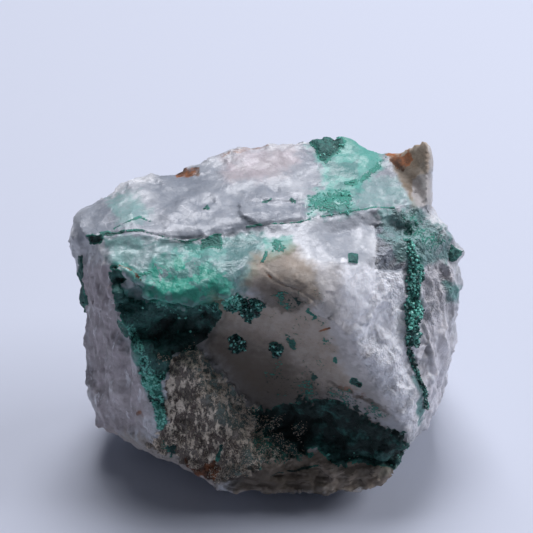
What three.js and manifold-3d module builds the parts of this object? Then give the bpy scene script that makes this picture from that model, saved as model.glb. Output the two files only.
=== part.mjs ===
// A hand specimen of milky quartz with malachite, broken from a vein: one rock, so one closed solid.
// Millimetres, +Z up. The rock stands on its broken foot at z = 0, with the origin under the middle
// of its box. -Y is the show side: a white nose of quartz overhangs a smooth hollow there, a lip of
// green-stained quartz overhangs a pocket on its left, and a seam of malachite runs down its right.
// The foot is smaller than the rock, whose lower edge stands clear of the ground all round.
import * as THREE from "three";
import { ConvexGeometry } from "three/addons/geometries/ConvexGeometry.js";
import { ImprovedNoise } from "three/addons/math/ImprovedNoise.js";
import { mergeVertices } from "three/addons/utils/BufferGeometryUtils.js";
import Module from "manifold-3d";

const wasm = await Module();
wasm.setup();

// ---- Driving dimensions ------------------------------------------------------------------------

const TOP = 42; // height of the broken top over the rock's lower edge
const FOOT = -3; // height of the foot, below the lower edge
const SEAM = TOP - 1.2; // height of the band's top edge, just under the slab
const FAR = 60; // where a cut ends, well clear of the rock
const EDGE = { shown: 4.1, hidden: 5.4 }; // longest edges left on the skin, in front and on top, and behind
const HIDDEN = { from: 9, below: TOP - 4 }; // where the skin counts as behind
const SWELL = { height: 0.6, length: 14 }; // slow waves of the broken faces
const CHIP = { height: 0.55, length: 6.5 }; // flat chips, each tilted its own way

// ---- The chunks of the rock, as the corners of each in mm ---------------------------------------

// Everything below the slab, as the planes of its breaks leave it.
const body = [
  // under the slab, clockwise from the front left
  [-27.2, -0.4, SEAM - 0.5], [-29, 4.5, SEAM - 1.6], [-25.5, 9.4, SEAM - 1.5], [-13.4, 14.6, SEAM],
  [-2.6, 18.2, SEAM], [10.4, 20.6, SEAM], [20, 18.4, SEAM], [25, 9, SEAM - 1.5], [27.5, 4.5, 38.4],
  // band in front of the slab, down to the lip
  [-23.2, -5.2, 39], [-16, -10.6, 37.4], [-7.2, -10.8, 37], [-22.4, -7.5, 33.5],
  // nose, and the rounded ridge that runs from it down to the right
  [-1, -8.3, 40.6], [4.5, -9.8, 39.8], [9, -8.5, 39.5], [6.5, -11.4, 37], [11.8, -12.8, 32],
  [17.3, -14, 22.2], [22.8, -14.5, 8],
  // left front edge
  [-20.5, -10.8, 26], [-19, -12, 17.8], [-17.7, -11.5, 6.5],
  // right side
  [30.6, 4.5, 33.6], [30.2, 4, 25], [29.4, 2, 19.2], [28.8, 0, 9], [28, 3, 3], [26, -5, 4.3],
  // left side
  [-29.8, 3, 36], [-29.4, 2, 29.6], [-29, 0, 21], [-28.4, -2, 7.6], [-27.8, -4, 3.5],
  // front of the foot
  [18.7, -15, 2.4], [6.9, -16, 2.6], [-2.5, -15.8, 2.4], [-7.4, -15.2, 1.4], [-15.5, -11, 3],
  // back
  [-24, 15, 28], [-25, 16, 12], [-19, 18, 4], [-6, 24, 30], [-8, 25, 10], [12, 26, 28], [14, 25, 8],
  [25, 20, 29], [27, 18, 9], [20, 20, 2.5],
  // foot
  [-14, 4, FOOT - 1], [-1, -9, FOOT - 1], [13, -8, FOOT - 1], [20, 1, FOOT - 1], [15, 14, FOOT - 1],
  [0, 18, FOOT - 1], [-13, 12, FOOT - 1],
];

// The slab on top, whose broken edge stands over the band: its left part, its right part and a sill.
const slabLeft = [
  [-27.8, -1.2, TOP - 0.9], [-21.5, 0.4, TOP - 0.2], [-17.7, -1.2, TOP], [-13.1, -2.6, TOP], [-7, -1.3, TOP],
  [-1, 2, TOP], [-30, 4.5, TOP - 2.1], [-29.4, 7.3, TOP - 2.8], [-26, 9.6, TOP - 2], [-18, 11, TOP],
  [-13.2, 14.8, TOP + 0.2], [-9.4, 16.6, TOP + 0.4], [-2.6, 17.6, TOP + 0.8], [0, 10, TOP + 0.6],
  [-27.4, -0.6, TOP - 3], [-13.1, -2, TOP - 2], [0, 4, TOP - 4], [-29.6, 5, TOP - 6], [-25.5, 9, TOP - 6],
  [-3, 17, TOP - 4],
];
const slabRight = [
  [-3.2, 5.6, TOP + 0.6], [3, 6.4, TOP + 0.8], [12, 5.6, TOP + 0.1], [18, 6, TOP], [21.6, 6, TOP - 0.4],
  [24.8, 5.6, TOP - 1.2], [22.5, 9, TOP], [18, 17.6, TOP + 1.2], [5.3, 20.4, TOP + 1.4],
  [-4, 18.6, TOP + 1.4], [-9.4, 16.4, TOP + 0.6],
  [-3, 7, TOP - 3], [24, 6, TOP - 4], [20, 17, TOP - 4], [11, 20.4, TOP - 4], [-9, 16, TOP - 4],
];
const sill = [
  [-2.8, 0.8, TOP - 0.2], [3.6, 1, TOP - 0.1], [7, 2, TOP], [12.1, 3.6, TOP + 0.1], [16, 5, TOP + 0.1],
  [21.6, 4.2, TOP - 0.6], [-3.4, 7, TOP + 0.1], [20, 10, TOP], [-3, 2, TOP - 3], [12, 5, TOP - 3],
  [22, 6, TOP - 3], [-5, 9, TOP - 3],
];

// The hump of malachite on the back rim, and the flake that curls up beside it.
const hump = [
  [8, 19.6, TOP + 1.2], [11.3, 20.6, TOP + 2.2], [14, 20, TOP + 1.6], [9.6, 15.6, TOP + 0.6],
  [12.8, 13.2, TOP - 0.2], [16.6, 17.6, TOP + 1.2], [10, 20, TOP - 3], [16, 18, TOP - 3],
];
const flakeRoot = [
  [17.6, 17.8, TOP + 1.1], [20.8, 16.6, TOP + 1.7], [24.6, 10, TOP + 1.5], [24.8, 6.4, TOP - 1.8],
  [25.8, 9, TOP - 2.4], [24.6, 8.5, TOP - 4], [18, 18.6, TOP - 3], [21.6, 18, TOP - 2], [26, 15, TOP - 3],
];
const flakeTip = [
  [20.8, 16.6, TOP + 1.7], [24.9, 14.8, TOP + 6], [25.8, 14, TOP + 4.5], [24.8, 6.4, TOP - 1.8],
  [25.8, 9, TOP - 2.4], [22, 17.8, TOP - 1], [26, 14, TOP - 4], [24.5, 9, TOP - 5],
];

// The layer that wraps the left end, and the ledge along the front of the foot.
const leftRim = [
  [-28.4, -0.4, 39.6], [-30.3, 2.4, 38.6], [-30.7, 4, 36.4], [-30, 2.6, 30.4], [-29, 0.4, 31],
  [-28.6, -0.6, 34], [-29.6, 9, 37], [-28, 8, 31], [-26, 4, 38], [-26, 4, 32],
];
const ledge = [
  [-8.8, -14.4, 1.5], [-5.8, -16.4, 1.4], [5.3, -17.6, 1.6], [15, -17, 1.6], [19.8, -15.6, 1.8],
  [21.5, -12.5, 2.6], [-5.8, -15, 2.8], [5.3, -15.6, 2.9], [18, -14.8, 3.2], [-6, -13, -0.6],
  [5, -14.4, -0.8], [17, -12.6, -0.4], [-4, -6, -1.6], [18, -6, -1.6],
];

// ---- What is broken out of it -------------------------------------------------------------------

// The hollow under the nose: a smooth wall at the back, and a rough slope up to it from the foot.
const hollow = [
  // where the wall leaves the nose and the ridge
  [-9, -10.2, 36], [3.2, -9.8, 37.4], [11.8, -11.6, 31.5], [17.3, -13.4, 22], [22.5, -14, 7],
  // the crease at the back, from left to right
  [-10.3, -7.5, 24.5], [-1, -6.5, 10], [9.5, -8.5, 6.5], [21, -12.3, 4],
  // out in the open
  [-14, -FAR, 30], [3, -FAR, FAR], [40, -FAR, 20], [-6, -FAR, -12], [30, -FAR, -8],
];

// The pocket under the lip, the hole at the lip's left end, and the cleft between the lip and the nose.
const pocket = [
  [-21, -5, 34.4], [-14, -4, 35], [-6, -7, 34.6], [-5, -7.5, 27], [-13, -5, 26], [-20, -8, 27],
  [-24, -FAR, 38], [4, -FAR, 42], [2, -FAR, 14], [-24, -FAR, 18],
];
const hole = [
  [-22.8, -4, 37], [-19, -6, 36.5], [-19.5, -6, 32], [-22.4, -5, 32], [-23.5, -FAR, 60], [-19, -FAR, 55],
  [-19, -FAR, 40], [-23.5, -FAR, 40],
];
const cleft = [
  [-0.7, -8.2, 40.4], [-6.5, -8.4, 35.6], [4.6, -8.8, 36.8], [-1, -6.8, 34],
  [-0.7, -FAR, 42], [-9, -FAR, 34], [6.6, -FAR, 36], [-1, -FAR, 20],
];

// The nick under the tip of the right shoulder.
const nick = [
  [28.8, 3, 31], [32, 0, 33], [32, 0, 29.4], [33, 9, 33], [33, 9, 29.4], [29.4, 9, 31],
];

// Two scars down the back, each a step lower than the rest, with a ridge left between them. They run
// out at the left side and the foot.
const leftScar = [
  [-29, 9.5, 31], [-11, 19, 25], [-6.5, 20.6, 11], [-13, 15.4, -4], [-29, 7.5, -4],
  [-50, FAR, 44], [-14, FAR, 34], [2, FAR, 12], [-8, FAR, -20], [-50, FAR, -20],
];
const rightScar = [
  [-13, 20, 33], [2, 23.4, 30], [9, 24.4, 17], [6, 22.4, 3], [-7, 17.6, -4],
  [-24, FAR, 46], [4, FAR, 42], [22, FAR, 18], [14, FAR, -20], [-10, FAR, -20],
];

// ---- Solids and meshes -------------------------------------------------------------------------

function solid(geometry) {
  const bare = geometry.clone();
  bare.deleteAttribute("normal");
  bare.deleteAttribute("uv");
  const merged = mergeVertices(bare, 1e-4);
  return new wasm.Manifold(new wasm.Mesh({
    numProp: 3,
    vertProperties: merged.attributes.position.array,
    triVerts: new Uint32Array(merged.index.array),
  }));
}

const convex = (corners) => solid(new ConvexGeometry(corners.map((c) => new THREE.Vector3(...c))));

function geometryOf(made) {
  const mesh = made.getMesh();
  return new THREE.BufferGeometry()
    .setAttribute("position", new THREE.BufferAttribute(new Float32Array(mesh.vertProperties), 3))
    .setIndex(new THREE.BufferAttribute(mesh.triVerts, 1));
}

// The outer skin alone, so that a gap which lumps close off between them is solid.
function outside(geometry) {
  const { position } = geometry.attributes;
  const corners = geometry.index.array;
  const next = Array.from({ length: position.count }, (_, i) => i);
  const shellOf = (i) => (next[i] === i ? i : (next[i] = shellOf(next[i])));
  for (let i = 0; i < corners.length; i += 3) {
    next[shellOf(corners[i])] = shellOf(corners[i + 1]);
    next[shellOf(corners[i + 1])] = shellOf(corners[i + 2]);
  }
  const shells = new Map();
  for (const corner of corners) {
    if (!shells.has(shellOf(corner))) shells.set(shellOf(corner), []);
    shells.get(shellOf(corner)).push(corner);
  }
  const [largest] = [...shells.values()].sort((a, b) => b.length - a.length);
  return mergeVertices(new THREE.BufferGeometry().setAttribute("position", position).setIndex(largest), 1e-4);
}

const pointsOf = (position) =>
  Array.from({ length: position.count }, (_, i) => new THREE.Vector3().fromBufferAttribute(position, i));

// Whether an edge is too long for its place.
function tooLong(a, b) {
  const behind = Math.min(a.y, b.y) > HIDDEN.from && Math.min(a.z, b.z) < HIDDEN.below;
  return a.distanceTo(b) > (behind ? EDGE.hidden : EDGE.shown);
}

// One face as two, three or four, by the middles of the edges to be halved; -1 stands for a whole edge.
function divided([a, b, c], [ab, bc, ca]) {
  const count = [ab, bc, ca].filter((m) => m >= 0).length;
  if (count === 0) return [[a, b, c]];
  if (count === 3) return [[a, ab, ca], [ab, b, bc], [ca, bc, c], [ab, bc, ca]];
  if (ab < 0 || ca >= 0) return divided([b, c, a], [bc, ca, ab]);
  return count === 1 ? [[a, ab, c], [ab, b, c]] : [[ab, b, bc], [a, ab, bc], [a, bc, c]];
}

// Halves every edge that is too long until none is left, and keeps the skin closed.
function refined(geometry) {
  const { attributes: { position }, index } = geometry;
  const points = pointsOf(position);
  let faces = [];
  for (let i = 0; i < index.count; i += 3) faces.push([0, 1, 2].map((k) => index.getX(i + k)));
  for (let before = 0; before < faces.length; ) {
    before = faces.length;
    const middles = new Map();
    const middle = (a, b) => {
      if (!tooLong(points[a], points[b])) return -1;
      const key = `${Math.min(a, b)}_${Math.max(a, b)}`;
      if (!middles.has(key)) middles.set(key, points.push(points[a].clone().lerp(points[b], 0.5)) - 1);
      return middles.get(key);
    };
    faces = faces.flatMap(([a, b, c]) => divided([a, b, c], [middle(a, b), middle(b, c), middle(c, a)]));
  }
  return new THREE.BufferGeometry()
    .setAttribute("position", new THREE.Float32BufferAttribute(points.flatMap((p) => p.toArray()), 3))
    .setIndex(faces.flat());
}

// ---- The broken surface ------------------------------------------------------------------------

const perlin = new ImprovedNoise();
const wave = (p, length, shift) => perlin.noise(p.x / length + shift, p.y / length, p.z / length + shift);

// A number from 0 to 1 that is always the same for one cell and one salt.
function chance(cell, salt) {
  const s = Math.sin(cell.x * 127.1 + cell.y * 311.7 + cell.z * 74.7 + salt * 53.3) * 43758.5453;
  return s - Math.floor(s);
}

// The height of the flat chip that a point lies on: the nearest of scattered centres owns it.
function chip(p, length) {
  const home = p.clone().divideScalar(length).floor();
  let nearest = Infinity, height = 0;
  for (let i = -1; i <= 1; i++) for (let j = -1; j <= 1; j++) for (let k = -1; k <= 1; k++) {
    const cell = home.clone().add(new THREE.Vector3(i, j, k));
    const centre = cell.clone().add(new THREE.Vector3(chance(cell, 1), chance(cell, 2), chance(cell, 3)));
    const away = p.clone().divideScalar(length).sub(centre);
    if (away.lengthSq() >= nearest) continue;
    nearest = away.lengthSq();
    const tilt = new THREE.Vector3(chance(cell, 4), chance(cell, 5), chance(cell, 6)).subScalar(0.5);
    height = tilt.dot(away) * 2 + chance(cell, 7) - 0.5;
  }
  return height;
}

// How far a point is inside a ball, from 0 at its skin to 1 at its middle.
const inBall = (p, [x, y, z, r]) => Math.max(0, 1 - p.distanceTo(new THREE.Vector3(x, y, z)) / r);

// The worn quartz of the nose, the hollow and the ridge, as balls: middle and radius.
const WORN = [[5, -9, 36, 13], [10, -8, 28, 13], [15, -12, 20, 12], [20, -13, 12, 12]];
const worn = (p) => Math.max(...WORN.map((ball) => inBall(p, ball)));

// Draws each point towards the middle of its neighbours, and most of the way where the quartz is worn.
function softened(geometry, rounds) {
  const { attributes: { position }, index } = geometry;
  const around = Array.from({ length: position.count }, () => new Set());
  for (let i = 0; i < index.count; i += 3) {
    const [a, b, c] = [index.getX(i), index.getX(i + 1), index.getX(i + 2)];
    around[a].add(b).add(c);
    around[b].add(c).add(a);
    around[c].add(a).add(b);
  }
  let points = pointsOf(position);
  for (let round = 0; round < rounds; round++) {
    points = points.map((p, i) => {
      const mean = new THREE.Vector3();
      for (const j of around[i]) mean.add(points[j]);
      mean.divideScalar(around[i].size);
      return p.clone().lerp(mean, Math.min(0.6, 0.05 + 1.5 * worn(p)));
    });
  }
  points.forEach((p, i) => position.setXYZ(i, p.x, p.y, p.z));
  return geometry;
}

function roughened(geometry) {
  geometry.computeVertexNormals();
  const { position, normal } = geometry.attributes;
  const p = new THREE.Vector3(), n = new THREE.Vector3();
  for (let i = 0; i < position.count; i++) {
    p.fromBufferAttribute(position, i);
    n.fromBufferAttribute(normal, i);
    const sharp = 1 - Math.min(0.7, 1.4 * worn(p));
    const swell = SWELL.height * wave(p, SWELL.length, 3.7);
    p.addScaledVector(n, swell + sharp * CHIP.height * chip(p, CHIP.length));
    position.setXYZ(i, p.x, p.y, p.z);
  }
  return geometry;
}

// ---- The seam and the malachite ----------------------------------------------------------------

const SEAM_OUT = new THREE.Vector3(0.6, -0.65, 0.45).normalize(); // the way that the seam's face looks
const SEAM_SIZE = { width: 2.4, depth: 1.1 };
const SUNK = 0.45; // how deep a lump's middle sits, as a share of its radius

// The seam's course down the front as points (x, z), and the runs of lumps: their course, how many,
// how big and how scattered.
const seam = [[21.2, 39.6], [22, 36.3], [22.3, 33.7], [22.2, 28.3], [22.8, 24.4]];
const runs = [
  { at: seam, count: 15, radius: 1.35, spread: 0.6 },
  {
    at: [[-21.6, 37], [-22, 33], [-17.8, 24], [-17.5, 19.5], [-16.4, 13]],
    count: 12, radius: 1.9, spread: 1.2,
  },
  { at: [[-18, 32], [-14, 29.5], [-10, 31]], count: 5, radius: 2.8, spread: 1.4 },
  { at: [[-5.8, 36], [-3.4, 34.4], [-0.8, 35.8]], count: 4, radius: 1.6, spread: 0.5 },
  { at: [[-4.9, 25.8], [1.2, 24.6]], count: 2, radius: 1.4, spread: 0.2 },
  { at: [[3.5, 11], [10, 10.4], [16.3, 7.2], [20.6, 4.4]], count: 9, radius: 2, spread: 1 },
];

// The point of the skin that a line along +Y first meets.
function shown(skin, x, z) {
  const ray = new THREE.Raycaster(new THREE.Vector3(x, -FAR, z), new THREE.Vector3(0, 1, 0));
  return ray.intersectObject(new THREE.Mesh(skin))[0]?.point;
}

// The open groove of the seam, as one hull between each two points of its course.
function groove(skin) {
  const course = seam.map(([x, z]) => shown(skin, x, z));
  const corners = course.map((p, i) => {
    const along = course[Math.min(i + 1, course.length - 1)].clone().sub(course[Math.max(i - 1, 0)]);
    const side = along.cross(SEAM_OUT).setLength(SEAM_SIZE.width / 2);
    const mouth = p.clone().addScaledVector(SEAM_OUT, SEAM_SIZE.depth);
    const bottom = p.clone().addScaledVector(SEAM_OUT, -SEAM_SIZE.depth);
    return [mouth.clone().add(side), mouth.sub(side), bottom];
  });
  return corners.slice(1).map((next, i) => solid(new ConvexGeometry([...corners[i], ...next])));
}

// Lumps with flat faces, half sunk in the skin.
function strewn(skin, { at, count, radius, spread }) {
  const run = new THREE.CatmullRomCurve3(at.map(([x, z]) => new THREE.Vector3(x, 0, z)));
  const lumps = [];
  for (let i = 0; i < count; i++) {
    const place = run.getPointAt(i / (count - 1));
    const cell = place.clone().multiplyScalar(7).round();
    place.x += spread * (2 * chance(cell, 1) - 1);
    place.z += spread * (2 * chance(cell, 2) - 1);
    const seat = shown(skin, place.x, place.z);
    if (!seat) continue;
    const lump = new THREE.IcosahedronGeometry(radius * (0.65 + 0.7 * chance(cell, 3)), 0);
    lump.scale(1, 0.6 + 0.8 * chance(cell, 4), 1).rotateX(7 * chance(cell, 5)).rotateY(7 * chance(cell, 6));
    lumps.push(solid(lump.translate(seat.x, seat.y + SUNK * radius, seat.z)));
  }
  return lumps;
}

// ---- The rock ----------------------------------------------------------------------------------

const join = (all, more) => all.add(more);
const cut = (all, less) => all.subtract(less);

const chunks = [slabLeft, slabRight, sill, hump, flakeRoot, flakeTip, leftRim, ledge];
const breaks = [hollow, pocket, hole, cleft, nick, leftScar, rightScar];
const block = chunks.map(convex).reduce(join, convex(body));
const chipped = breaks.map(convex).reduce(cut, block);
const skin = roughened(softened(refined(geometryOf(chipped)), 3));
const opened = groove(skin).reduce(cut, solid(skin));
const dressed = runs.flatMap((run) => strewn(skin, run)).reduce(join, opened);
const floor = new THREE.BoxGeometry(4 * FAR, 4 * FAR, FAR).translate(0, 0, FOOT - FAR / 2);
const rock = outside(geometryOf(dressed.subtract(solid(floor))));
rock.computeBoundingBox();
const middle = rock.boundingBox.getCenter(new THREE.Vector3());
rock.translate(-middle.x, -middle.y, -FOOT);

const specimen = new THREE.Group();
const quartz = new THREE.MeshStandardMaterial({ color: 0xd8d6d6, roughness: 0.55, metalness: 0 });
const mesh = new THREE.Mesh(rock, quartz);
mesh.name = "malachite_quartz_rock";
specimen.add(mesh);

export default specimen;
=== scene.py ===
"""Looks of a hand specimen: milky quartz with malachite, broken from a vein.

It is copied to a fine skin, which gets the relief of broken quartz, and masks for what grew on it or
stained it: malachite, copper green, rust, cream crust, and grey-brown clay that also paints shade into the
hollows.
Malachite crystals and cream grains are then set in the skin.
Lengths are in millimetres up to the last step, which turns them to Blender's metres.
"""

import itertools
import logging
import math
from abc import ABC, abstractmethod
from dataclasses import dataclass, field
from enum import Enum
from functools import partial
from typing import ClassVar

import bmesh
import bpy
import numpy as np
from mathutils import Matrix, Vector
from mathutils.bvhtree import BVHTree
from mathutils.kdtree import KDTree


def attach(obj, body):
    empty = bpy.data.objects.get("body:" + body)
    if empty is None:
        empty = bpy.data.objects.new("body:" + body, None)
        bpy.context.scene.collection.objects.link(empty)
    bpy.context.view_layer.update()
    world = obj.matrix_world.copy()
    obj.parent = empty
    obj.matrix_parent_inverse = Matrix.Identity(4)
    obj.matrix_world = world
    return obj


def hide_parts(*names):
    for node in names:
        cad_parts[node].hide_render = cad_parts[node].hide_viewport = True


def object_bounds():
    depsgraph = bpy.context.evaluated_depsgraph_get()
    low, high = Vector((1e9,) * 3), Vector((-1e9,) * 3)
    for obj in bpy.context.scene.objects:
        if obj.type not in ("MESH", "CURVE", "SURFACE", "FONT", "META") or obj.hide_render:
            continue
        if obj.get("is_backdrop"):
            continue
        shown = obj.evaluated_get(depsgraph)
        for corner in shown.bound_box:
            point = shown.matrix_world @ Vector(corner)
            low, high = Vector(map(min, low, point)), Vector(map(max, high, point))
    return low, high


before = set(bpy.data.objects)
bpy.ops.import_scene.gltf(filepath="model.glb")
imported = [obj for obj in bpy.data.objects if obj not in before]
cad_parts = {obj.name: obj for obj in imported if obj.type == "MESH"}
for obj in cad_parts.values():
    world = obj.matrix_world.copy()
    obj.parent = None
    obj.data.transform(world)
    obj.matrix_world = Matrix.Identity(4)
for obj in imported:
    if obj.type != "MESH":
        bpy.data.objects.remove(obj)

LOG = logging.getLogger("specimen")
MM = 0.001  # in metres
NODE = "malachite_quartz_rock"
FRAME_PX = 533

Pixel = tuple[float, float]
Triple = tuple[float, float, float]
Array = np.ndarray
Socket = bpy.types.NodeSocket
Feed = Socket | Triple | float | str
Material = bpy.types.Material

EVEN: Triple = (1, 1, 1)
FAR_OFF = 1e9

# ---- Noise ------------------------------------------------------------------------------------

AXIS_PRIMES = (73856093, 19349663, 83492791)
SALT_STEP, SALT_START = 40503, 977
STIRS = ((13, 1274126177), (15, 668265263))  # the shift and the odd factor of each round of mixing
WORD = 0xFFFFFFFF


def hashed(cells: Array, salt: int) -> Array:
    """Gives each whole-number cell four numbers of its own.

    Args:
        cells: Cell coordinates, one row of three to a cell.
        salt: Picks one of many unlike sets of numbers.

    Returns:
        Rows of four numbers from 0 to 1, one row to a cell.
    """
    x, y, z = (cells[..., k].astype(np.int64) * prime for k, prime in enumerate(AXIS_PRIMES))
    word = x ^ y ^ z ^ (salt * SALT_STEP + SALT_START)
    for shift, factor in STIRS:
        word = ((word ^ (word >> shift)) * factor) & WORD
    word ^= word >> 16
    return np.stack([(word >> shift) & 0xFF for shift in (0, 8, 16, 24)], -1) / 255


def waves(points: Array, length: float, salt: int = 0, octaves: int = 1) -> Array:
    """Smooth noise whose longest waves have one length.

    Args:
        points: Places in mm.
        length: Length of the longest waves in mm.
        salt: Picks the pattern.
        octaves: How many sizes of wave are summed, each half as long and half as high.

    Returns:
        Heights of about -1 to 1.
    """
    octave_shift, full_height = 17.3, 1.5  # so that octaves don't line up, and heights reach about 1
    total = np.zeros(len(points))
    for octave in range(octaves):
        place = points / length * 2**octave + octave_shift * octave
        cell = np.floor(place)
        inside = place - cell
        ease = inside * inside * inside * (inside * (inside * 6 - 15) + 10)
        for corner in itertools.product((0, 1), repeat=3):
            offset = np.array(corner)
            slope = hashed(cell + offset, salt)[:, :3] * 2 - 1
            share = np.prod(np.where(offset, ease, 1 - ease), axis=-1)
            total += share * ((inside - offset) * slope).sum(-1) * full_height / 2**octave
    return total


@dataclass(frozen=True)
class Cells:
    """What points take from scattered centres near them."""

    chip: Array  # height of a flat chip tilted its own way, about -1 to 1, with steps between chips
    scoop: Array  # height of shallow hollows that meet in sharp ridges, as quartz breaks, about -1 to 1
    dome: Array  # height of a round lump, 1 in its middle and 0 between lumps
    tone: Array  # a number from 0 to 1, the same all over a cell

    tilt_salt: ClassVar[int] = 500  # what sets the cells' tilts apart from their centres
    scoop_tilt: ClassVar[float] = 0.6  # how much a scoop leans
    scoop_bowl: ClassVar[float] = 1.1  # how much it is hollowed
    scoop_height: ClassVar[float] = 3
    dome_fall: ClassVar[float] = 1.7  # how soon a lump falls off to its side

    @classmethod
    def scattered(cls, points: Array, length: float, salt: int = 0) -> "Cells":
        """Finds the nearest of centres that are scattered one length apart.

        Args:
            points: Places in mm.
            length: Usual size of a cell in mm.
            salt: Picks the pattern.

        Returns:
            What each point takes from its cell.
        """
        place = points / length
        home = np.floor(place)
        nearest, scoop = np.full((2, len(place)), FAR_OFF)
        chip, tone = np.zeros((2, len(place)))
        for step in itertools.product((-1, 0, 1), repeat=3):
            cell = home + np.array(step)
            reach = place - cell - hashed(cell, salt)[:, :3]
            own = hashed(cell, salt + cls.tilt_salt)
            far = (reach**2).sum(-1)
            plane = ((own[:, :3] - 0.5) * reach).sum(-1) * 2 + own[:, 3] - 0.5
            scoop = np.minimum(scoop, cls.scoop_tilt * plane + cls.scoop_bowl * far)
            closer = far < nearest
            nearest = np.where(closer, far, nearest)
            chip = np.where(closer, plane, chip)
            tone = np.where(closer, own[:, 3], tone)
        dome = np.sqrt(np.clip(1 - nearest * cls.dome_fall, 0, 1))
        return cls(chip, cls.scoop_height * (scoop - scoop.mean()), dome, tone)


def eased(low: float, high: float, x: Array) -> Array:
    """Rises smoothly from 0 at low to 1 at high."""
    t = np.clip((x - low) / (high - low), 0, 1)
    return t * t * (3 - 2 * t)


# ---- The camera --------------------------------------------------------------------------------


@dataclass(frozen=True)
class Viewpoint:
    """Where the camera stands, looking down at the show side (mm and degrees)."""

    lift: float = 40.0
    lens: float = 150.0
    sensor: float = 36.0
    aim: Triple = (-0.09, 2.63, 31.1)
    distance: float = 352.0

    def axes(self) -> tuple[Array, Array, Array]:
        """Works out how the camera is turned.

        Returns:
            Its right, up and forward directions.
        """
        lift = math.radians(self.lift)
        forward = np.array([0, math.cos(lift), -math.sin(lift)])
        return np.array([1.0, 0, 0]), np.array([0, math.sin(lift), math.cos(lift)]), forward

    def place(self) -> Array:
        """The camera's place in mm."""
        return np.array(self.aim) - self.distance * self.axes()[2]

    def pixels(self, points: Array) -> Array:
        """Where points fall in the square frame.

        Args:
            points: Places in mm.

        Returns:
            Rows of two pixel coordinates, across and down.
        """
        right, up, forward = self.axes()
        away = points - self.place()
        scale = self.lens / self.sensor * FRAME_PX / (away @ forward)
        return np.stack([FRAME_PX / 2 + scale * (away @ right), FRAME_PX / 2 - scale * (away @ up)], -1)

    def build(self) -> None:
        """Makes the camera and gives it to the scene."""
        lens = bpy.data.cameras.new("camera")
        lens.lens, lens.sensor_width = self.lens, self.sensor
        lens.clip_start, lens.clip_end = 10 * MM, 10000 * MM
        camera = bpy.data.objects.new("camera", lens)
        bpy.context.collection.objects.link(camera)
        camera.location = Vector(self.place() * MM)
        camera.rotation_mode = "QUATERNION"
        camera.rotation_quaternion = Vector(self.axes()[2]).to_track_quat("-Z", "Y")
        bpy.context.scene.camera = camera


# ---- What the skin carries ---------------------------------------------------------------------


class Coat(Enum):
    """What covers, stains or shapes a patch of the rock, by the name of its mask."""

    MALACHITE = "malachite"  # dark green crystals and botryoids, a crust on the quartz
    DRUSY = "drusy"  # malachite that stands out in small crystals
    COPPER = "copper"  # quartz stained pale green by copper
    RUST = "rust"  # iron oxide, brown to orange
    OCHRE = "ochre"  # cream to buff, quartz with a breath of iron
    ROSY = "rosy"  # quartz with a breath of lilac or pink
    GRIME = "grime"  # grey-brown dust and clay, and painted shade in the hollow, the pocket, the crease, the ledges and under the nose and chin
    CLEAR = "clear"  # glassy grey quartz, with less milk in it
    MILKY = "milky"  # white quartz, full of tiny bubbles, and on the lower white face and the right face also painted light
    SMOOTH = "smooth"  # worn or conchoidal, with no chips
    ROUNDED = "rounded"  # its edges rounded off
    LAYERED = "layered"  # broken along upright growth layers
    BEDDED = "bedded"  # broken along level layers
    CRUSTY = "crusty"  # granular crust of cream grains over dark rock
    CRINKLED = "crinkled"  # finely crinkled, like crushed foil
    STEP = "step"  # raised or sunk by its strength, in mm


def distance(pixels: Array, starts: Array, ends: Array) -> Array:
    """How far points are from a line of straight runs.

    Args:
        pixels: The points, as rows of two pixel coordinates.
        starts: Where each run starts.
        ends: Where each run ends.

    Returns:
        Each point's distance from the nearest run, in pixels.
    """
    near = np.full(len(pixels), FAR_OFF)
    for start, run in zip(starts, ends - starts):
        along = np.clip(((pixels - start) @ run) / (run @ run), 0, 1)
        near = np.minimum(near, np.linalg.norm(pixels - start - along[:, None] * run, axis=1))
    return near


@dataclass(frozen=True)
class Mark(ABC):
    """A shape drawn on the show side, in pixels of the frame, and how it carries its coat."""

    strength: float  # how much of the coat it carries in its middle
    soft: float  # how wide its edge is
    fray: float  # how far noise pushes its edge in and out
    outline: tuple[Pixel, ...]
    half_width: float = 0

    def span(self) -> tuple[Array, Array]:
        """Boxes the mark in.

        Returns:
            The lowest and highest pixel coordinates that it can reach.
        """
        ends = np.array(self.outline)
        margin = self.soft + 2 * self.fray + self.half_width
        return ends.min(0) - margin, ends.max(0) + margin

    @abstractmethod
    def depth(self, pixels: Array) -> Array:
        """How many pixels each point is inside the mark, below 0 outside it."""


class Patch(Mark):
    """An area with an outline that closes on itself."""

    def depth(self, pixels: Array) -> Array:
        """Measures how deep points lie in the patch.

        Args:
            pixels: The points, as rows of two pixel coordinates.

        Returns:
            How many pixels each is inside the outline, below 0 outside it.
        """
        ends = np.array(self.outline, float)
        starts = np.roll(ends, 1, axis=0)
        odd = np.zeros(len(pixels), bool)
        for (x, y), (run, rise) in zip(starts, ends - starts):
            crosses = (y > pixels[:, 1]) != (y + rise > pixels[:, 1])
            odd ^= crosses & (pixels[:, 0] < x + (pixels[:, 1] - y) / (rise or 1) * run)
        near = distance(pixels, starts, ends)
        return np.where(odd, near, -near)


class Streak(Mark):
    """A line of one width."""

    def depth(self, pixels: Array) -> Array:
        """How many pixels each point is inside the streak, below 0 outside it."""
        ends = np.array(self.outline, float)
        return self.half_width - distance(pixels, ends[:-1], ends[1:])


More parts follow.
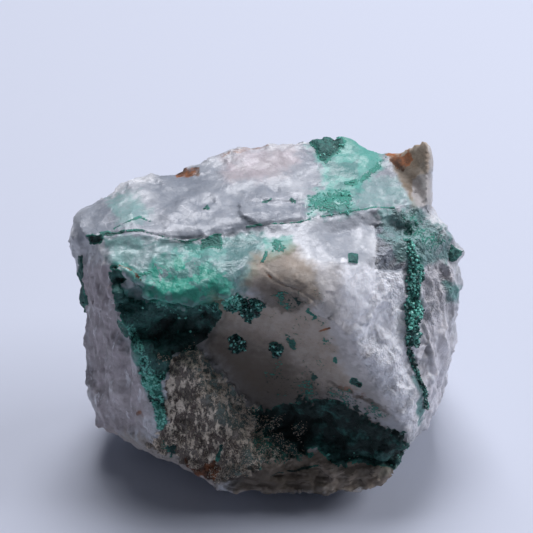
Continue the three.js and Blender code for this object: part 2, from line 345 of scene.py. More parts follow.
# Every mark on the rock, by its coat: strength, softness and fray of the edge, the outline, and for a
# streak its half width.
MARKS: dict[Coat, dict[str, Mark]] = {
    Coat.MALACHITE: {
        "seam": Patch(0.95, 1.5, 1.2, ((406, 240), (409, 247), (410, 262), (409, 280), (407, 300), (408, 320),
            (408, 344), (418, 344), (420, 334), (418, 322), (421, 312), (418, 300), (421, 288), (423, 276),
            (420, 264), (416, 256), (414, 246), (411, 238))),
        "thread below the seam": Streak(0.8, 2.0, 0.6, ((409, 350), (414, 362), (418, 375), (421, 390),
            (424, 406)), 1.8),
        "pocket under the lip": Patch(0.95, 4.0, 5.0, ((112, 268), (120, 266), (125, 276), (121, 288),
            (130, 300), (150, 302), (178, 306), (215, 303), (224, 314), (208, 335), (192, 350), (172, 352),
            (168, 378), (158, 384), (140, 374), (140, 356), (130, 336), (120, 316), (113, 296))),
        "left of the pocket": Streak(0.6, 3.0, 2.0, ((119, 323), (127, 335), (138, 350)), 4.0),
        "green edge of the lip": Streak(0.55, 3.0, 2.0, ((141, 276), (151, 272)), 2.5),
        "column": Patch(0.62, 4.0, 4.0, ((142, 378), (160, 380), (164, 400), (168, 426), (158, 430),
            (150, 408))),
        "cluster under the band": Patch(0.9, 3.0, 4.0, ((226, 297), (238, 294), (248, 299), (262, 299),
            (268, 305), (260, 312), (250, 322), (240, 312), (228, 310))),
        "round cluster on the wall": Patch(0.85, 3.0, 3.0, ((228, 338), (236, 334), (246, 342), (246, 351),
            (236, 354), (229, 350))),
        "small cluster on the wall": Patch(0.8, 3.0, 3.0, ((269, 344), (278, 341), (284, 348), (279, 358),
            (273, 358))),
        "scattered grains on the wall": Patch(0.24, 24.0, 8.0, ((264, 286), (326, 286), (340, 340),
            (326, 384), (256, 396), (250, 340))),
        "line of grains on the wall": Streak(0.62, 5.0, 5.0, ((288, 338), (296, 352), (306, 366),
            (316, 378)), 2.2),
        "grains beside the chin": Streak(0.66, 3.0, 3.0, ((308, 311), (315, 316)), 2.2),
        "grain on the chin": Streak(0.7, 3.0, 2.0, ((295, 298), (299, 303)), 2.2),
        "grains under the chin": Patch(0.36, 5.0, 5.0, ((278, 288), (304, 290), (310, 304), (290, 312),
            (276, 302))),
        "grain low on the wall": Streak(0.7, 3.0, 1.5, ((335, 358), (336, 362)), 2.0),
        "grain above the crease": Streak(0.85, 3.0, 2.0, ((353, 381), (359, 385)), 3.5),
        "crease": Patch(0.95, 8.0, 11.0, ((250, 412), (298, 400), (320, 398), (345, 403), (367, 415),
            (386, 425), (400, 432), (402, 441), (415, 446), (409, 456), (403, 469), (376, 462), (357, 458),
            (333, 464), (320, 452), (303, 450), (280, 454), (262, 440))),
        "flecks above the crease": Patch(0.35, 8.0, 8.0, ((262, 374), (300, 372), (340, 384), (390, 412),
            (384, 424), (340, 404), (300, 402), (262, 398))),
        "flecks left of the crease": Patch(0.45, 10.0, 8.0, ((250, 430), (300, 432), (304, 462), (262, 470),
            (244, 456))),
        "line on the ledge, right": Streak(0.75, 2.0, 1.5, ((357, 460), (380, 464), (402, 470)), 1.2),
        "line on the ledge, left": Streak(0.7, 2.0, 2.0, ((270, 476), (295, 470), (322, 465)), 1.2),
        "parting, left": Streak(0.75, 2.5, 2.0, ((88, 236), (100, 232), (112, 234), (125, 230), (140, 230),
            (155, 234), (170, 238), (186, 242), (200, 238), (222, 234)), 1.1),
        "crack in the slab": Streak(0.65, 2.0, 1.2, ((114, 228), (125, 222), (140, 217), (152, 221)), 0.9),
        "parting, right": Streak(0.75, 2.0, 1.2, ((246, 227), (258, 225), (280, 224), (300, 222), (312, 218),
            (328, 215), (345, 212), (372, 208), (394, 208)), 0.8),
        "left end of the parting": Patch(0.9, 2.0, 1.5, ((88, 236), (104, 233), (103, 243), (89, 245))),
        "dark patch on the band": Patch(0.75, 3.0, 2.0, ((200, 239), (222, 234), (222, 250), (212, 248),
            (201, 250))),
        "hump": Patch(0.84, 5.0, 4.0, ((307, 138), (338, 134), (347, 142), (346, 146), (326, 164),
            (316, 152))),
        "in front of the hump": Patch(0.44, 8.0, 8.0, ((306, 194), (330, 186), (348, 188), (350, 208),
            (330, 214), (309, 214))),
        "line to the flake": Streak(0.5, 4.0, 3.0, ((362, 180), (372, 171), (386, 158)), 3.0),
        "grains by the line": Streak(0.6, 3.0, 2.0, ((346, 184), (356, 182)), 3.0),
        "grain on the slab, middle": Streak(0.95, 1.5, 0.8, ((263, 202), (271, 200)), 1.6),
        "grain on the slab, right": Streak(0.95, 1.5, 0.8, ((291, 199), (295, 202)), 1.4),
        "grain on the slab, left": Streak(0.9, 1.5, 0.5, ((207, 206), (208, 209)), 1.4),
        "bright spot over the nose": Patch(0.55, 5.0, 4.0, ((268, 240), (276, 238), (287, 246), (284, 252),
            (272, 252))),
        "grain beside the nose": Streak(0.6, 2.0, 1.0, ((266, 252), (263, 261)), 2.0),
        "square grain": Patch(1.0, 1.2, 0.1, ((348, 254), (358, 254), (358, 263), (348, 263))),
        "shoulder": Patch(0.4, 10.0, 9.0, ((398, 212), (420, 212), (440, 228), (450, 244), (440, 254),
            (424, 256), (406, 244))),
        "right-hand tip": Patch(0.8, 2.0, 1.5, ((452, 243), (462, 252), (456, 262), (449, 262))),
        "sliver behind the rim": Patch(0.8, 2.0, 1.0, ((77, 256), (82, 256), (87, 300), (84, 316),
            (79, 290))),
        "grain at the foot, left": Streak(0.7, 4.0, 3.0, ((165, 441), (172, 454)), 3.0),
        "grain at the foot, middle": Streak(0.7, 3.0, 2.0, ((221, 448), (218, 458)), 2.5),
    },
    Coat.DRUSY: {
        "seam": Patch(1.0, 3.0, 1.0, ((402, 240), (428, 240), (428, 346), (430, 410), (406, 400),
            (404, 300))),
        "clusters": Patch(0.9, 3.0, 1.0, ((222, 292), (272, 292), (290, 360), (222, 360))),
        "column": Patch(0.9, 6.0, 2.0, ((136, 372), (172, 372), (172, 434), (148, 434))),
        "in front of the hump": Patch(0.2, 6.0, 2.0, ((304, 180), (352, 180), (352, 216), (304, 216))),
    },
    Coat.COPPER: {
        "band": Patch(0.36, 8.0, 6.0, ((100, 236), (150, 236), (190, 242), (265, 230), (272, 240), (262, 262),
            (250, 290), (230, 314), (160, 314), (136, 300), (130, 276), (110, 262))),
        "heart of the band": Patch(0.95, 14.0, 8.0, ((148, 262), (176, 250), (200, 262), (234, 274),
            (234, 294), (222, 311), (156, 310), (140, 290))),
        "upper band": Patch(0.6, 8.0, 8.0, ((180, 244), (222, 240), (232, 256), (206, 262), (184, 256))),
        "left end of the band": Patch(0.6, 5.0, 4.0, ((112, 262), (134, 262), (150, 280), (140, 284),
            (124, 272))),
        "over the nose": Patch(0.6, 8.0, 6.0, ((262, 236), (292, 236), (292, 252), (264, 264))),
        "column": Patch(0.9, 5.0, 3.0, ((122, 324), (134, 322), (146, 350), (160, 376), (168, 428),
            (158, 430), (148, 400), (138, 366))),
        "left edge of the pocket": Patch(0.6, 6.0, 4.0, ((118, 284), (134, 292), (146, 312), (150, 330),
            (136, 330), (122, 312))),
        "seam": Patch(0.25, 4.0, 2.0, ((408, 262), (423, 262), (421, 342), (409, 342))),
        "left end of the slab": Patch(0.3, 12.0, 8.0, ((105, 196), (140, 194), (152, 218), (118, 228))),
        "hump": Patch(0.68, 12.0, 9.0, ((306, 134), (352, 134), (384, 150), (386, 162), (364, 184),
            (354, 212), (310, 216), (306, 200), (324, 184), (319, 162))),
        "slab beside the flake": Patch(0.3, 12.0, 8.0, ((352, 178), (400, 176), (412, 204), (352, 214))),
        "shoulder": Patch(0.34, 8.0, 8.0, ((376, 208), (425, 210), (450, 234), (452, 262), (424, 268),
            (400, 262), (378, 226))),
        "beside the thread": Streak(0.42, 5.0, 3.0, ((415, 378), (417, 392), (418, 408), (420, 424)), 2.6),
        "right-hand edge": Patch(0.5, 9.0, 4.0, ((446, 282), (458, 286), (456, 302), (448, 300))),
        "end of the ledge": Patch(0.4, 6.0, 4.0, ((380, 452), (404, 452), (398, 472), (380, 476))),
    },
    Coat.RUST: {
        "flake": Patch(0.7, 4.0, 5.0, ((383, 152), (402, 153), (409, 149), (413, 160), (402, 171),
            (392, 164))),
        "torn edge of the lip": Streak(0.75, 1.5, 1.5, ((120, 266), (129, 269), (136, 274), (142, 281)), 1.2),
        "foot": Patch(0.8, 5.0, 5.0, ((186, 460), (200, 469), (214, 461), (224, 466), (212, 480),
            (194, 478))),
        "back rim, left": Patch(0.7, 4.0, 2.0, ((174, 168), (200, 166), (200, 175), (176, 178))),
        "back rim": Streak(0.4, 3.0, 1.5, ((222, 156), (245, 149), (268, 146)), 2.0),
        "crack under the nose": Streak(0.45, 2.5, 1.0, ((264, 270), (272, 279), (283, 285), (298, 290)), 1.2),
        "scratch on the wall": Streak(0.8, 1.5, 0.5, ((320, 331), (330, 328)), 1.1),
        "above the crease": Patch(0.4, 6.0, 4.0, ((336, 382), (352, 386), (372, 396), (366, 402),
            (340, 394))),
        "spot on the left face": Streak(0.5, 3.0, 1.5, ((136, 411), (142, 417)), 2.5),
    },
    Coat.OCHRE: {
        "nose": Patch(0.85, 16.0, 6.0, ((252, 256), (292, 246), (316, 268), (322, 300), (300, 320),
            (262, 296), (244, 286))),
        "wall under the nose": Patch(0.85, 22.0, 8.0, ((214, 300), (300, 296), (330, 320), (340, 356),
            (366, 394), (330, 396), (260, 400), (206, 350))),
        "left foot": Patch(0.6, 10.0, 8.0, ((100, 430), (160, 440), (214, 466), (250, 470), (214, 488),
            (150, 462), (100, 446))),
        "ledge": Patch(0.9, 8.0, 5.0, ((250, 462), (300, 450), (330, 450), (404, 468), (390, 492),
            (230, 494))),
        "flake": Patch(1.0, 4.0, 3.0, ((386, 152), (430, 134), (430, 174), (412, 178), (412, 200),
            (402, 184))),
        "right side of the flake": Patch(0.45, 5.0, 3.0, ((412, 176), (432, 170), (434, 208), (412, 206))),
        "edge of the white face": Patch(0.4, 16.0, 8.0, ((300, 262), (336, 268), (352, 330), (384, 396),
            (400, 424), (372, 416), (336, 384), (316, 330))),
    },
    Coat.ROSY: {
        "left face": Patch(0.85, 12.0, 6.0, ((82, 262), (112, 266), (122, 340), (140, 380), (150, 430),
            (96, 440), (84, 350))),
        "back of the slab": Patch(0.8, 16.0, 8.0, ((222, 158), (290, 144), (306, 160), (270, 180),
            (226, 180))),
        "right face": Patch(0.35, 12.0, 8.0, ((420, 262), (452, 262), (456, 300), (446, 400), (418, 440),
            (410, 400))),
    },
    # Painted shade over real grey-brown clay: these marks darken the hollow under the nose, the pocket, the
    # crease, the ledges and the undersides of the nose and chin where shade falls, and dim the nose a little;
    # the dark lines and the flake get the clay's own tint.
    Coat.GRIME: {
        "hollow": Patch(1.0, 86.0, 8.0, ((184, 320), (230, 328), (284, 346), (322, 380), (356, 404),
            (404, 440), (300, 446), (230, 416))),
        "pocket": Patch(0.5, 12.0, 6.0, ((146, 320), (190, 314), (218, 320), (212, 346), (180, 354),
            (150, 346))),
        "ledge, left": Patch(0.75, 16.0, 5.0, ((228, 462), (300, 462), (330, 470), (330, 492), (300, 498),
            (226, 490))),
        "ledge": Patch(0.45, 10.0, 5.0, ((240, 436), (340, 446), (376, 458), (404, 466), (398, 484),
            (330, 490), (240, 474))),
        "flake": Patch(0.5, 5.0, 4.0, ((392, 160), (420, 146), (430, 142), (426, 172), (412, 178), (411, 198),
            (402, 184))),
        "crease": Patch(1.0, 8.0, 6.0, ((262, 398), (320, 396), (345, 402), (400, 432), (402, 444),
            (388, 452), (330, 446), (290, 440), (256, 424))),
        "under the nose": Patch(0.45, 12.0, 5.0, ((262, 276), (286, 288), (300, 298), (296, 312), (262, 300),
            (240, 296))),
        "dark line, right": Streak(0.75, 7.0, 5.0, ((326, 381), (346, 390), (368, 401), (388, 413)), 3.0),
        "dark line, left": Streak(0.6, 7.0, 5.0, ((262, 384), (290, 384), (318, 394)), 3.0),
        "nose": Patch(0.34, 16.0, 6.0, ((252, 256), (292, 246), (316, 268), (322, 300), (300, 312),
            (262, 292))),
        "under the chin": Patch(0.6, 6.0, 5.0, ((256, 285), (276, 288), (300, 292), (308, 304), (290, 315),
            (262, 306))),
    },
    Coat.CLEAR: {
        "slab": Patch(0.62, 10.0, 6.0, ((70, 205), (130, 188), (210, 158), (340, 140), (410, 150), (430, 208),
            (300, 222), (200, 240), (75, 240))),
        "band": Patch(0.55, 10.0, 6.0, ((92, 236), (190, 242), (262, 232), (262, 262), (110, 264))),
        "right end of the band": Patch(1.0, 12.0, 6.0, ((226, 240), (262, 236), (262, 262), (236, 284),
            (222, 270))),
        "sunk square": Patch(0.75, 3.0, 3.0, ((376, 226), (402, 226), (404, 272), (378, 272))),
        "plate on the slab": Patch(1.0, 5.0, 4.0, ((252, 206), (296, 206), (296, 220), (264, 224),
            (252, 216))),
        "left face": Patch(0.6, 14.0, 8.0, ((84, 262), (112, 270), (120, 330), (130, 380), (84, 380))),
        "foot of the hump": Patch(0.9, 5.0, 4.0, ((318, 160), (358, 160), (362, 180), (330, 176))),
        # Partly painted shade: the top of the white face is painted greyer where the lamp falls on it most,
        # over its own glassy grey.
        "top of the white face": Patch(0.4, 16.0, 8.0, ((266, 224), (300, 222), (374, 212), (374, 258),
            (330, 270), (300, 250))),
    },
    # Partly painted light: the face beside the seam and the right face are painted whiter to lift faces that
    # the lamps leave dim, over their own white quartz; the streaks and the rest are white quartz.
    Coat.MILKY: {
        "face beside the seam": Patch(0.8, 22.0, 10.0, ((316, 264), (372, 262), (404, 274), (408, 345),
            (414, 372), (424, 420), (414, 446), (396, 424), (376, 396), (352, 362), (334, 326))),
        "long streak": Streak(1.0, 4.0, 2.5, ((366, 334), (374, 354), (386, 378)), 2.0),
        "short streak": Streak(0.9, 3.0, 2.5, ((374, 336), (380, 352), (392, 366)), 1.5),
        "low streak": Streak(0.8, 4.0, 3.0, ((362, 372), (380, 376), (398, 388)), 1.5),
        "right face": Patch(0.7, 14.0, 8.0, ((424, 320), (450, 300), (450, 360), (444, 404), (430, 432),
            (422, 424), (426, 380))),
        "foot of the seam": Patch(1.0, 2.0, 1.0, ((409, 344), (426, 344), (418, 364))),
        "edge of the right-hand tip": Streak(0.9, 2.0, 1.0, ((415, 450), (408, 461), (400, 473),
            (388, 485)), 2.0),
        "white plate in the band": Patch(0.8, 3.0, 1.5, ((190, 240), (198, 240), (196, 270), (188, 268))),
    },
    Coat.SMOOTH: {
        "slab": Patch(0.78, 12.0, 6.0, ((70, 205), (130, 188), (210, 158), (340, 134), (410, 150), (400, 206),
            (300, 222), (200, 240), (75, 240))),
        "left end of the slab": Patch(0.7, 8.0, 4.0, ((68, 205), (96, 194), (120, 200), (108, 238), (84, 246),
            (68, 250))),
        "flake": Patch(0.95, 3.0, 2.0, ((382, 150), (430, 132), (436, 208), (408, 206))),
        "white face": Patch(0.8, 12.0, 6.0, ((262, 226), (376, 210), (376, 300), (350, 330), (300, 300),
            (258, 262))),
        "band": Patch(0.62, 10.0, 6.0, ((96, 238), (262, 234), (250, 290), (170, 304), (112, 262))),
        "wall": Patch(1.0, 10.0, 3.0, ((262, 262), (300, 292), (350, 340), (400, 420), (400, 436), (300, 410),
            (236, 392), (204, 346), (226, 312))),
        "nose": Patch(0.6, 14.0, 4.0, ((250, 258), (300, 240), (345, 262), (352, 320), (320, 310),
            (280, 290))),
    },
    Coat.ROUNDED: {
        "nose and wall": Patch(1.0, 10.0, 2.0, ((246, 262), (268, 244), (300, 250), (352, 300), (392, 360),
            (412, 420), (404, 440), (340, 436), (262, 412), (226, 392), (205, 356), (222, 318))),
        "parting, right": Patch(0.4, 8.0, 1.0, ((262, 218), (400, 200), (404, 218), (262, 238))),
        "parting, left": Patch(0.2, 8.0, 1.0, ((100, 226), (262, 228), (262, 248), (100, 248))),
    },
    Coat.LAYERED: {
        "left face": Patch(1.0, 8.0, 4.0, ((82, 262), (108, 258), (116, 300), (138, 372), (150, 430),
            (98, 440), (84, 350))),
        "right face": Patch(1.0, 8.0, 4.0, ((420, 262), (452, 262), (460, 300), (452, 400), (424, 440),
            (422, 350))),
    },
    Coat.BEDDED: {
        "sunk square": Patch(0.5, 2.0, 2.0, ((376, 227), (405, 227), (405, 268), (376, 268))),
        "ledge": Patch(1.0, 8.0, 4.0, ((226, 462), (300, 458), (400, 466), (392, 492), (300, 500),
            (214, 490))),
    },
    Coat.CRUSTY: {
        "spot on the column": Patch(1.0, 2.0, 1.0, ((155, 353), (170, 354), (170, 361), (156, 362))),
        "crust": Patch(1.0, 8.0, 8.0, ((166, 360), (196, 340), (236, 392), (262, 412), (312, 420), (302, 452),
            (250, 472), (214, 480), (150, 444), (166, 420))),
    },
    Coat.CRINKLED: {
        "sunk square": Patch(1.0, 2.0, 1.5, ((376, 226), (406, 226), (406, 268), (376, 269))),
        "below the sunk square": Patch(0.6, 10.0, 6.0, ((376, 268), (407, 268), (408, 345), (396, 320),
            (384, 290))),
        "shoulder": Patch(0.9, 6.0, 4.0, ((392, 210), (424, 210), (452, 236), (452, 300), (426, 345),
            (424, 262), (408, 240))),
        "band": Patch(0.15, 10.0, 6.0, ((180, 236), (262, 232), (236, 284), (218, 304), (166, 304),
            (150, 280))),
        "lower white face": Patch(0.5, 14.0, 6.0, ((350, 330), (400, 345), (420, 430), (396, 424),
            (366, 384))),
    },
    Coat.STEP: {
        "plate on the slab": Patch(0.35, 2.0, 2.5, ((240, 203), (303, 203), (303, 220), (262, 225),
            (240, 217))),
        "sunk square": Patch(-0.4, 2.0, 1.5, ((375, 225), (402, 225), (404, 270), (375, 270))),
        "foot of the seam": Patch(0.4, 1.5, 0.5, ((409, 344), (426, 344), (418, 364))),
        "parting": Streak(-0.2, 2.0, 1.5, ((88, 238), (112, 234), (140, 231), (170, 238), (200, 238),
            (222, 235)), 1.0),
        "crack under the nose": Streak(-0.2, 2.0, 0.8, ((264, 270), (272, 279), (283, 285), (300, 291),
            (315, 301)), 0.6),
        "crack in the ledge, left": Streak(-0.5, 2.0, 1.0, ((270, 478), (300, 476), (340, 479)), 1.2),
        "crack in the ledge, right": Streak(-0.5, 2.0, 1.0, ((330, 462), (360, 456), (400, 466)), 1.2),
    },
}


# ---- The rock's skin ---------------------------------------------------------------------------


@dataclass(frozen=True)
class Spread:
    """How a coat is strewn over the sides that the show side doesn't reach."""

    strength: float
    low: float  # the noise is bare of it below this
    high: float  # and at its strength above this
    length: float  # of the noise's longest waves, mm
    salt: int
    octaves: int
    stretch: Triple = EVEN

    def share(self, points: Array) -> Array:
        """How much of the coat each point gets."""
        noise = waves(points * self.stretch, self.length, self.salt, self.octaves)
        return self.strength * eased(self.low, self.high, noise)


@dataclass(frozen=True)
class Break:
    """One size of the facets that broken quartz shows."""

    width: float  # mm
    height: float  # mm
    salt: int
    stretch: Triple = EVEN

    def cells(self, points: Array) -> Cells:
        """What the points take from the facets."""
        return Cells.scattered(points * self.stretch, self.width, self.salt)


@dataclass(frozen=True)
class Ripple:
    """Smooth waves of one size."""

    length: float  # mm
    height: float  # mm
    salt: int
    octaves: int = 1
    stretch: Triple = EVEN

    def raised(self, points: Array) -> Array:
        """The waves' height at the points."""
        return self.height * waves(points * self.stretch, self.length, self.salt, self.octaves)


def paint(mesh: bpy.types.Mesh, layers: dict[str, Array]) -> None:
    """Adds a number to each of a mesh's points, for its material to read.

    Args:
        mesh: The mesh.
        layers: The numbers, by the name that the material knows them by.
    """
    for name, values in layers.items():
        layer = mesh.attributes.new(name, "FLOAT", "POINT")
        layer.data.foreach_set("value", values.astype(np.float32))


@dataclass
class RockSkin:
    """The whole rock as one fine mesh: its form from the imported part, its relief and its masks."""

    name: str = "rock"
    voxel: float = 0.575  # of the remesh
    clearance: float = 0.2  # from the skin to where its rays to the camera start
    rounds: int = 96  # how often the rounded patches move towards the middle of their neighbours
    give: float = 0.7  # how far they move each time, as a share of the way
    reach: float = 4.0  # how far the drawn masks carry on round the edges
    held: float = 0.3  # the share of that reach over which they keep their strength
    upright: tuple[float, float] = (0.5, 0.9)  # how steep a face is where growth layers start to show
    flake_from: float = 46.5  # height above which the rock is the upright flake
    flake_ochre: float = 0.5
    spill: float = 0.35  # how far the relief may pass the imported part's sides
    fade_in: tuple[float, float] = (0.1, 1.2)  # heights over the ground between which it grows
    smooth_calm: float = 0.92  # how much of it worn quartz loses
    layered_calm: float = 0.5  # how much of its plain facets a layered face loses
    frays: tuple[Ripple, ...] = (Ripple(3.0, 0.6, 3, 2), Ripple(0.9, 0.6, 4, 2))
    swell: Ripple = Ripple(8, 0.25, 21, 2)
    scoops: tuple[Break, ...] = (Break(6.0, 0.42, 31), Break(2.8, 0.16, 32), Break(1.3, 0.06, 33))
    plates: tuple[Break, ...] = (Break(2.8, 0.3, 35), Break(1.2, 0.13, 36))
    plate_tones: tuple[float, ...] = (0.6, 0.4)  # how much each size of plate gives to the tone
    plate_warps: tuple[Ripple, ...] = tuple(Ripple(2.5, 0.5, salt) for salt in (80, 81, 82))
    layer_warp: Ripple = Ripple(5, 0.5, 40)
    layers: tuple[Break, ...] = (Break(2.0, 0.34, 41, (1, 1, 0.2)), Break(0.8, 0.2, 42, (1, 1, 0.2)))
    beds: Break = Break(2.4, 0.4, 43, (1, 1, 2.2))
    bed_ripple: Ripple = Ripple(1.4, 0.2, 44, 1, (1, 1, 2.2))
    crust: Break = Break(1.4, 0.3, 51, (1, 1, 0.6))
    crust_ripple: Ripple = Ripple(0.9, 0.25, 54)
    botryoids: tuple[Break, ...] = (Break(3.3, 1.0, 52), Break(1.4, 0.45, 53))
    botryoid_ripple: Ripple = Ripple(0.8, 0.12, 55)
    botryoid_top: float = 1.3  # how high the highest stand
    botryoid_seat: float = 0.8  # how deep the gaps between them lie
    botryoid_calm: float = 0.7  # how much of the relief under them is lost
    botryoid_from: tuple[float, float] = (0.7, 0.85)  # the mask of malachite between which they rise
    masks: dict[Coat, Array] = field(default_factory=dict)

    spreads: ClassVar[dict[Coat, Spread]] = {
        Coat.MALACHITE: Spread(0.85, 0.45, 0.8, 12, 61, 5),
        Coat.COPPER: Spread(0.5, 0.25, 0.7, 15, 62, 4),
        Coat.RUST: Spread(0.5, 0.3, 0.8, 9, 63, 4, (1, 1, 0.6)),
        Coat.OCHRE: Spread(0.5, 0.05, 0.5, 13, 64, 3),
        Coat.CLEAR: Spread(0.75, -0.2, 0.4, 11, 65, 3),
        Coat.ROSY: Spread(0.6, -0.1, 0.5, 18, 66, 2),
        Coat.LAYERED: Spread(1.0, -0.1, 0.3, 16, 67, 1),
        Coat.SMOOTH: Spread(0.6, 0.2, 0.5, 14, 68, 1),
    }

    def __post_init__(self) -> None:
        """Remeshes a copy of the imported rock."""
        rough = bpy.data.objects.new("rough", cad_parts[NODE].data.copy())
        bpy.context.collection.objects.link(rough)
        remesh = rough.modifiers.new("remesh", "REMESH")
        remesh.mode, remesh.voxel_size = "VOXEL", self.voxel * MM
        made = rough.evaluated_get(bpy.context.evaluated_depsgraph_get())
        self.mesh = bpy.data.meshes.new_from_object(made)
        bpy.data.objects.remove(rough)
        self.measure()

    def measure(self) -> None:
        """Reads the mesh's points and normals, in mm."""
        flat = np.empty(len(self.mesh.vertices) * 3, np.float32)
        self.mesh.vertices.foreach_get("co", flat)
        self.points = flat.reshape(-1, 3).astype(float) / MM
        self.mesh.vertex_normals.foreach_get("vector", flat)
        self.normals = flat.reshape(-1, 3).astype(float)

    def move(self, points: Array) -> None:
        """Moves the mesh's points.

        Args:
            points: Their new places in mm.
        """
        self.mesh.vertices.foreach_set("co", (points * MM).astype(np.float32).ravel())
        self.mesh.update()
        self.measure()

    def seen_from(self, eye: Viewpoint) -> Array:
        """Looks at the skin from the camera.

        Args:
            eye: The camera.

        Returns:
            Which points nothing hides from it.
        """
        faces = [tuple(p.vertices) for p in self.mesh.polygons]
        tree = BVHTree.FromPolygons([tuple(p) for p in self.points], faces)
        place = Vector(eye.place())
        seen = np.zeros(len(self.points), bool)
        for i, (point, normal) in enumerate(zip(self.points, self.normals)):
            start = Vector(point + self.clearance * normal)
            way = place - start
            if way.dot(Vector(normal)) > 0:
                seen[i] = tree.ray_cast(start, way.normalized())[0] is None
        return seen

    def soften(self, eye: Viewpoint) -> None:
        """Rounds the form off where the quartz is worn smooth.

        Args:
            eye: The camera that the masks are drawn from.
        """
        self.seen = self.seen_from(eye)
        self.mask(eye)
        ends = np.empty(len(self.mesh.edges) * 2, np.int32)
        self.mesh.edges.foreach_get("vertices", ends)
        ends = ends.reshape(-1, 2)
        here, there = np.concatenate([ends, ends[:, ::-1]]).T
        count = np.bincount(here, minlength=len(self.points))[:, None]
        share = self.give * self.masks[Coat.ROUNDED][:, None]
        points = self.points
        for _ in range(self.rounds):
            mean = np.stack([np.bincount(here, points[there, k]) for k in range(3)], -1) / count
            points = points + share * (mean - points)
        self.move(points)

    def refine(self, eye: Viewpoint) -> None:
        """Halves the mesh's edges on the show side.

        Args:
            eye: The camera that looks at that side.
        """
        seen = self.seen_from(eye)
        fine = bmesh.new()
        fine.from_mesh(self.mesh)
        mark = fine.verts.layers.float.new("seen")
        for vert in fine.verts:
            vert[mark] = float(seen[vert.index])
        edges = {edge for face in fine.faces if all(v[mark] > 0.5 for v in face.verts) for edge in face.edges}
        bmesh.ops.subdivide_edges(fine, edges=list(edges), cuts=1, use_grid_fill=True)
        self.seen = np.array([vert[mark] > 0.5 for vert in fine.verts])
        fine.to_mesh(self.mesh)
        fine.free()
        self.measure()

    def carried(self) -> tuple[Array, Array]:
        """Finds, for points out of the camera's sight, the seen ones that they take their masks from.

        Returns:
            The index of each point's source, its own for a seen one, and the share that it takes.
        """
        shown = np.flatnonzero(self.seen)
        tree = KDTree(len(shown))
        for i in shown:
            tree.insert(Vector(self.points[i]), int(i))
        tree.balance()
        source = np.arange(len(self.points))
        far = np.zeros(len(self.points))
        for i in np.flatnonzero(~self.seen):
            _, source[i], far[i] = tree.find(Vector(self.points[i]))
        return source, 1 - eased(self.held * self.reach, self.reach, far)

    def mask(self, eye: Viewpoint) -> None:
        """Works out every coat's mask: as drawn on the show side, carried on round its edges.

        Args:
            eye: The camera that the masks are drawn from.
        """
        source, carry = self.carried()
        pixels = eye.pixels(self.points)
        wobble = sum(ripple.raised(self.points) for ripple in self.frays)
        for coat, marks in MARKS.items():
            join = np.add if coat is Coat.STEP else np.maximum
            total = np.zeros(len(self.points))
            for name, mark in marks.items():
                low, high = mark.span()
                near = ((pixels > low) & (pixels < high)).all(1) & self.seen
                depth = mark.depth(pixels[near]) + mark.fray * wobble[near]
                drawn = np.zeros(len(self.points))
                drawn[near] = mark.strength * eased(-mark.soft / 2, mark.soft / 2, depth)
                total = join(total, drawn[source] * carry)
                LOG.debug("%s, %s: near %d points", coat.value, name, near.sum())
            self.masks[coat] = total
        self.weather(1 - carry)

    def weather(self, hidden: Array) -> None:
        """Gives the sides that the show side doesn't reach their own share of each coat.

        Args:
            hidden: How far each point is out of the drawn masks' reach, from 0 to 1.
        """
        shares = {coat: hidden * spread.share(self.points) for coat, spread in self.spreads.items()}
        shares[Coat.LAYERED] *= eased(*self.upright, 1 - np.abs(self.normals[:, 2]))
        flake = eased(self.flake_from, self.flake_from + 1, self.points[:, 2])
        shares[Coat.SMOOTH] = np.maximum(shares[Coat.SMOOTH], flake)
        shares[Coat.OCHRE] = np.maximum(shares[Coat.OCHRE], self.flake_ochre * flake)
        for coat, share in shares.items():
            self.masks[coat] = np.maximum(self.masks[coat], share)

    def relief(self) -> None:
        """Raises the relief of broken quartz over the skin."""
        p, m = self.points, self.masks
        rough = 1 - self.smooth_calm * m[Coat.SMOOTH]
        plain = rough * (1 - self.layered_calm * m[Coat.LAYERED])
        height = rough * self.swell.raised(p)
        for scoop in self.scoops:
            height += plain * scoop.height * scoop.cells(p).scoop
        warped = p + np.stack([warp.raised(p) for warp in self.plate_warps], -1)
        self.plate = np.zeros(len(p))
        for plate, share in zip(self.plates, self.plate_tones):
            cells = plate.cells(warped)
            height += plain * plate.height * cells.chip
            self.plate += share * cells.tone
        warped = p + self.layer_warp.raised(p)[:, None]
        for layer in self.layers:
            height += m[Coat.LAYERED] * layer.height * layer.cells(warped).scoop
        height += m[Coat.BEDDED] * (self.beds.height * self.beds.cells(p).chip + self.bed_ripple.raised(p))
        crust = self.crust.height * self.crust.cells(p).scoop + self.crust_ripple.raised(p)
        height += m[Coat.CRUSTY] * crust
        # Malachite covers the breaks with round lumps of its own, which stand over the deeper gaps.
        green = eased(*self.botryoid_from, m[Coat.MALACHITE])
        lumps = sum(lump.height * lump.cells(p).dome for lump in self.botryoids)
        over = lumps - self.botryoid_seat + self.botryoid_ripple.raised(p)
        height = (1 - self.botryoid_calm * green) * height + green * over
        height = (height + m[Coat.STEP]) * eased(*self.fade_in, p[:, 2])
        # How high a point stands among those around it, about 0 to 1, for the material to read: it paints the
        # malachite's low points darker and its high ones lighter, as painted shade and painted highlights.
        self.high = np.where(green > 0.5, lumps / self.botryoid_top, 0.5 + height)
        self.points = p + height[:, None] * self.normals

    def keep_in(self, low: Array, high: Array) -> None:
        """Holds the points inside the box (mm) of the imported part, but for a slight spill at its sides."""
        lowest = low - self.spill * np.array([1, 1, 0])
        self.move(np.clip(self.points, lowest, high + self.spill))

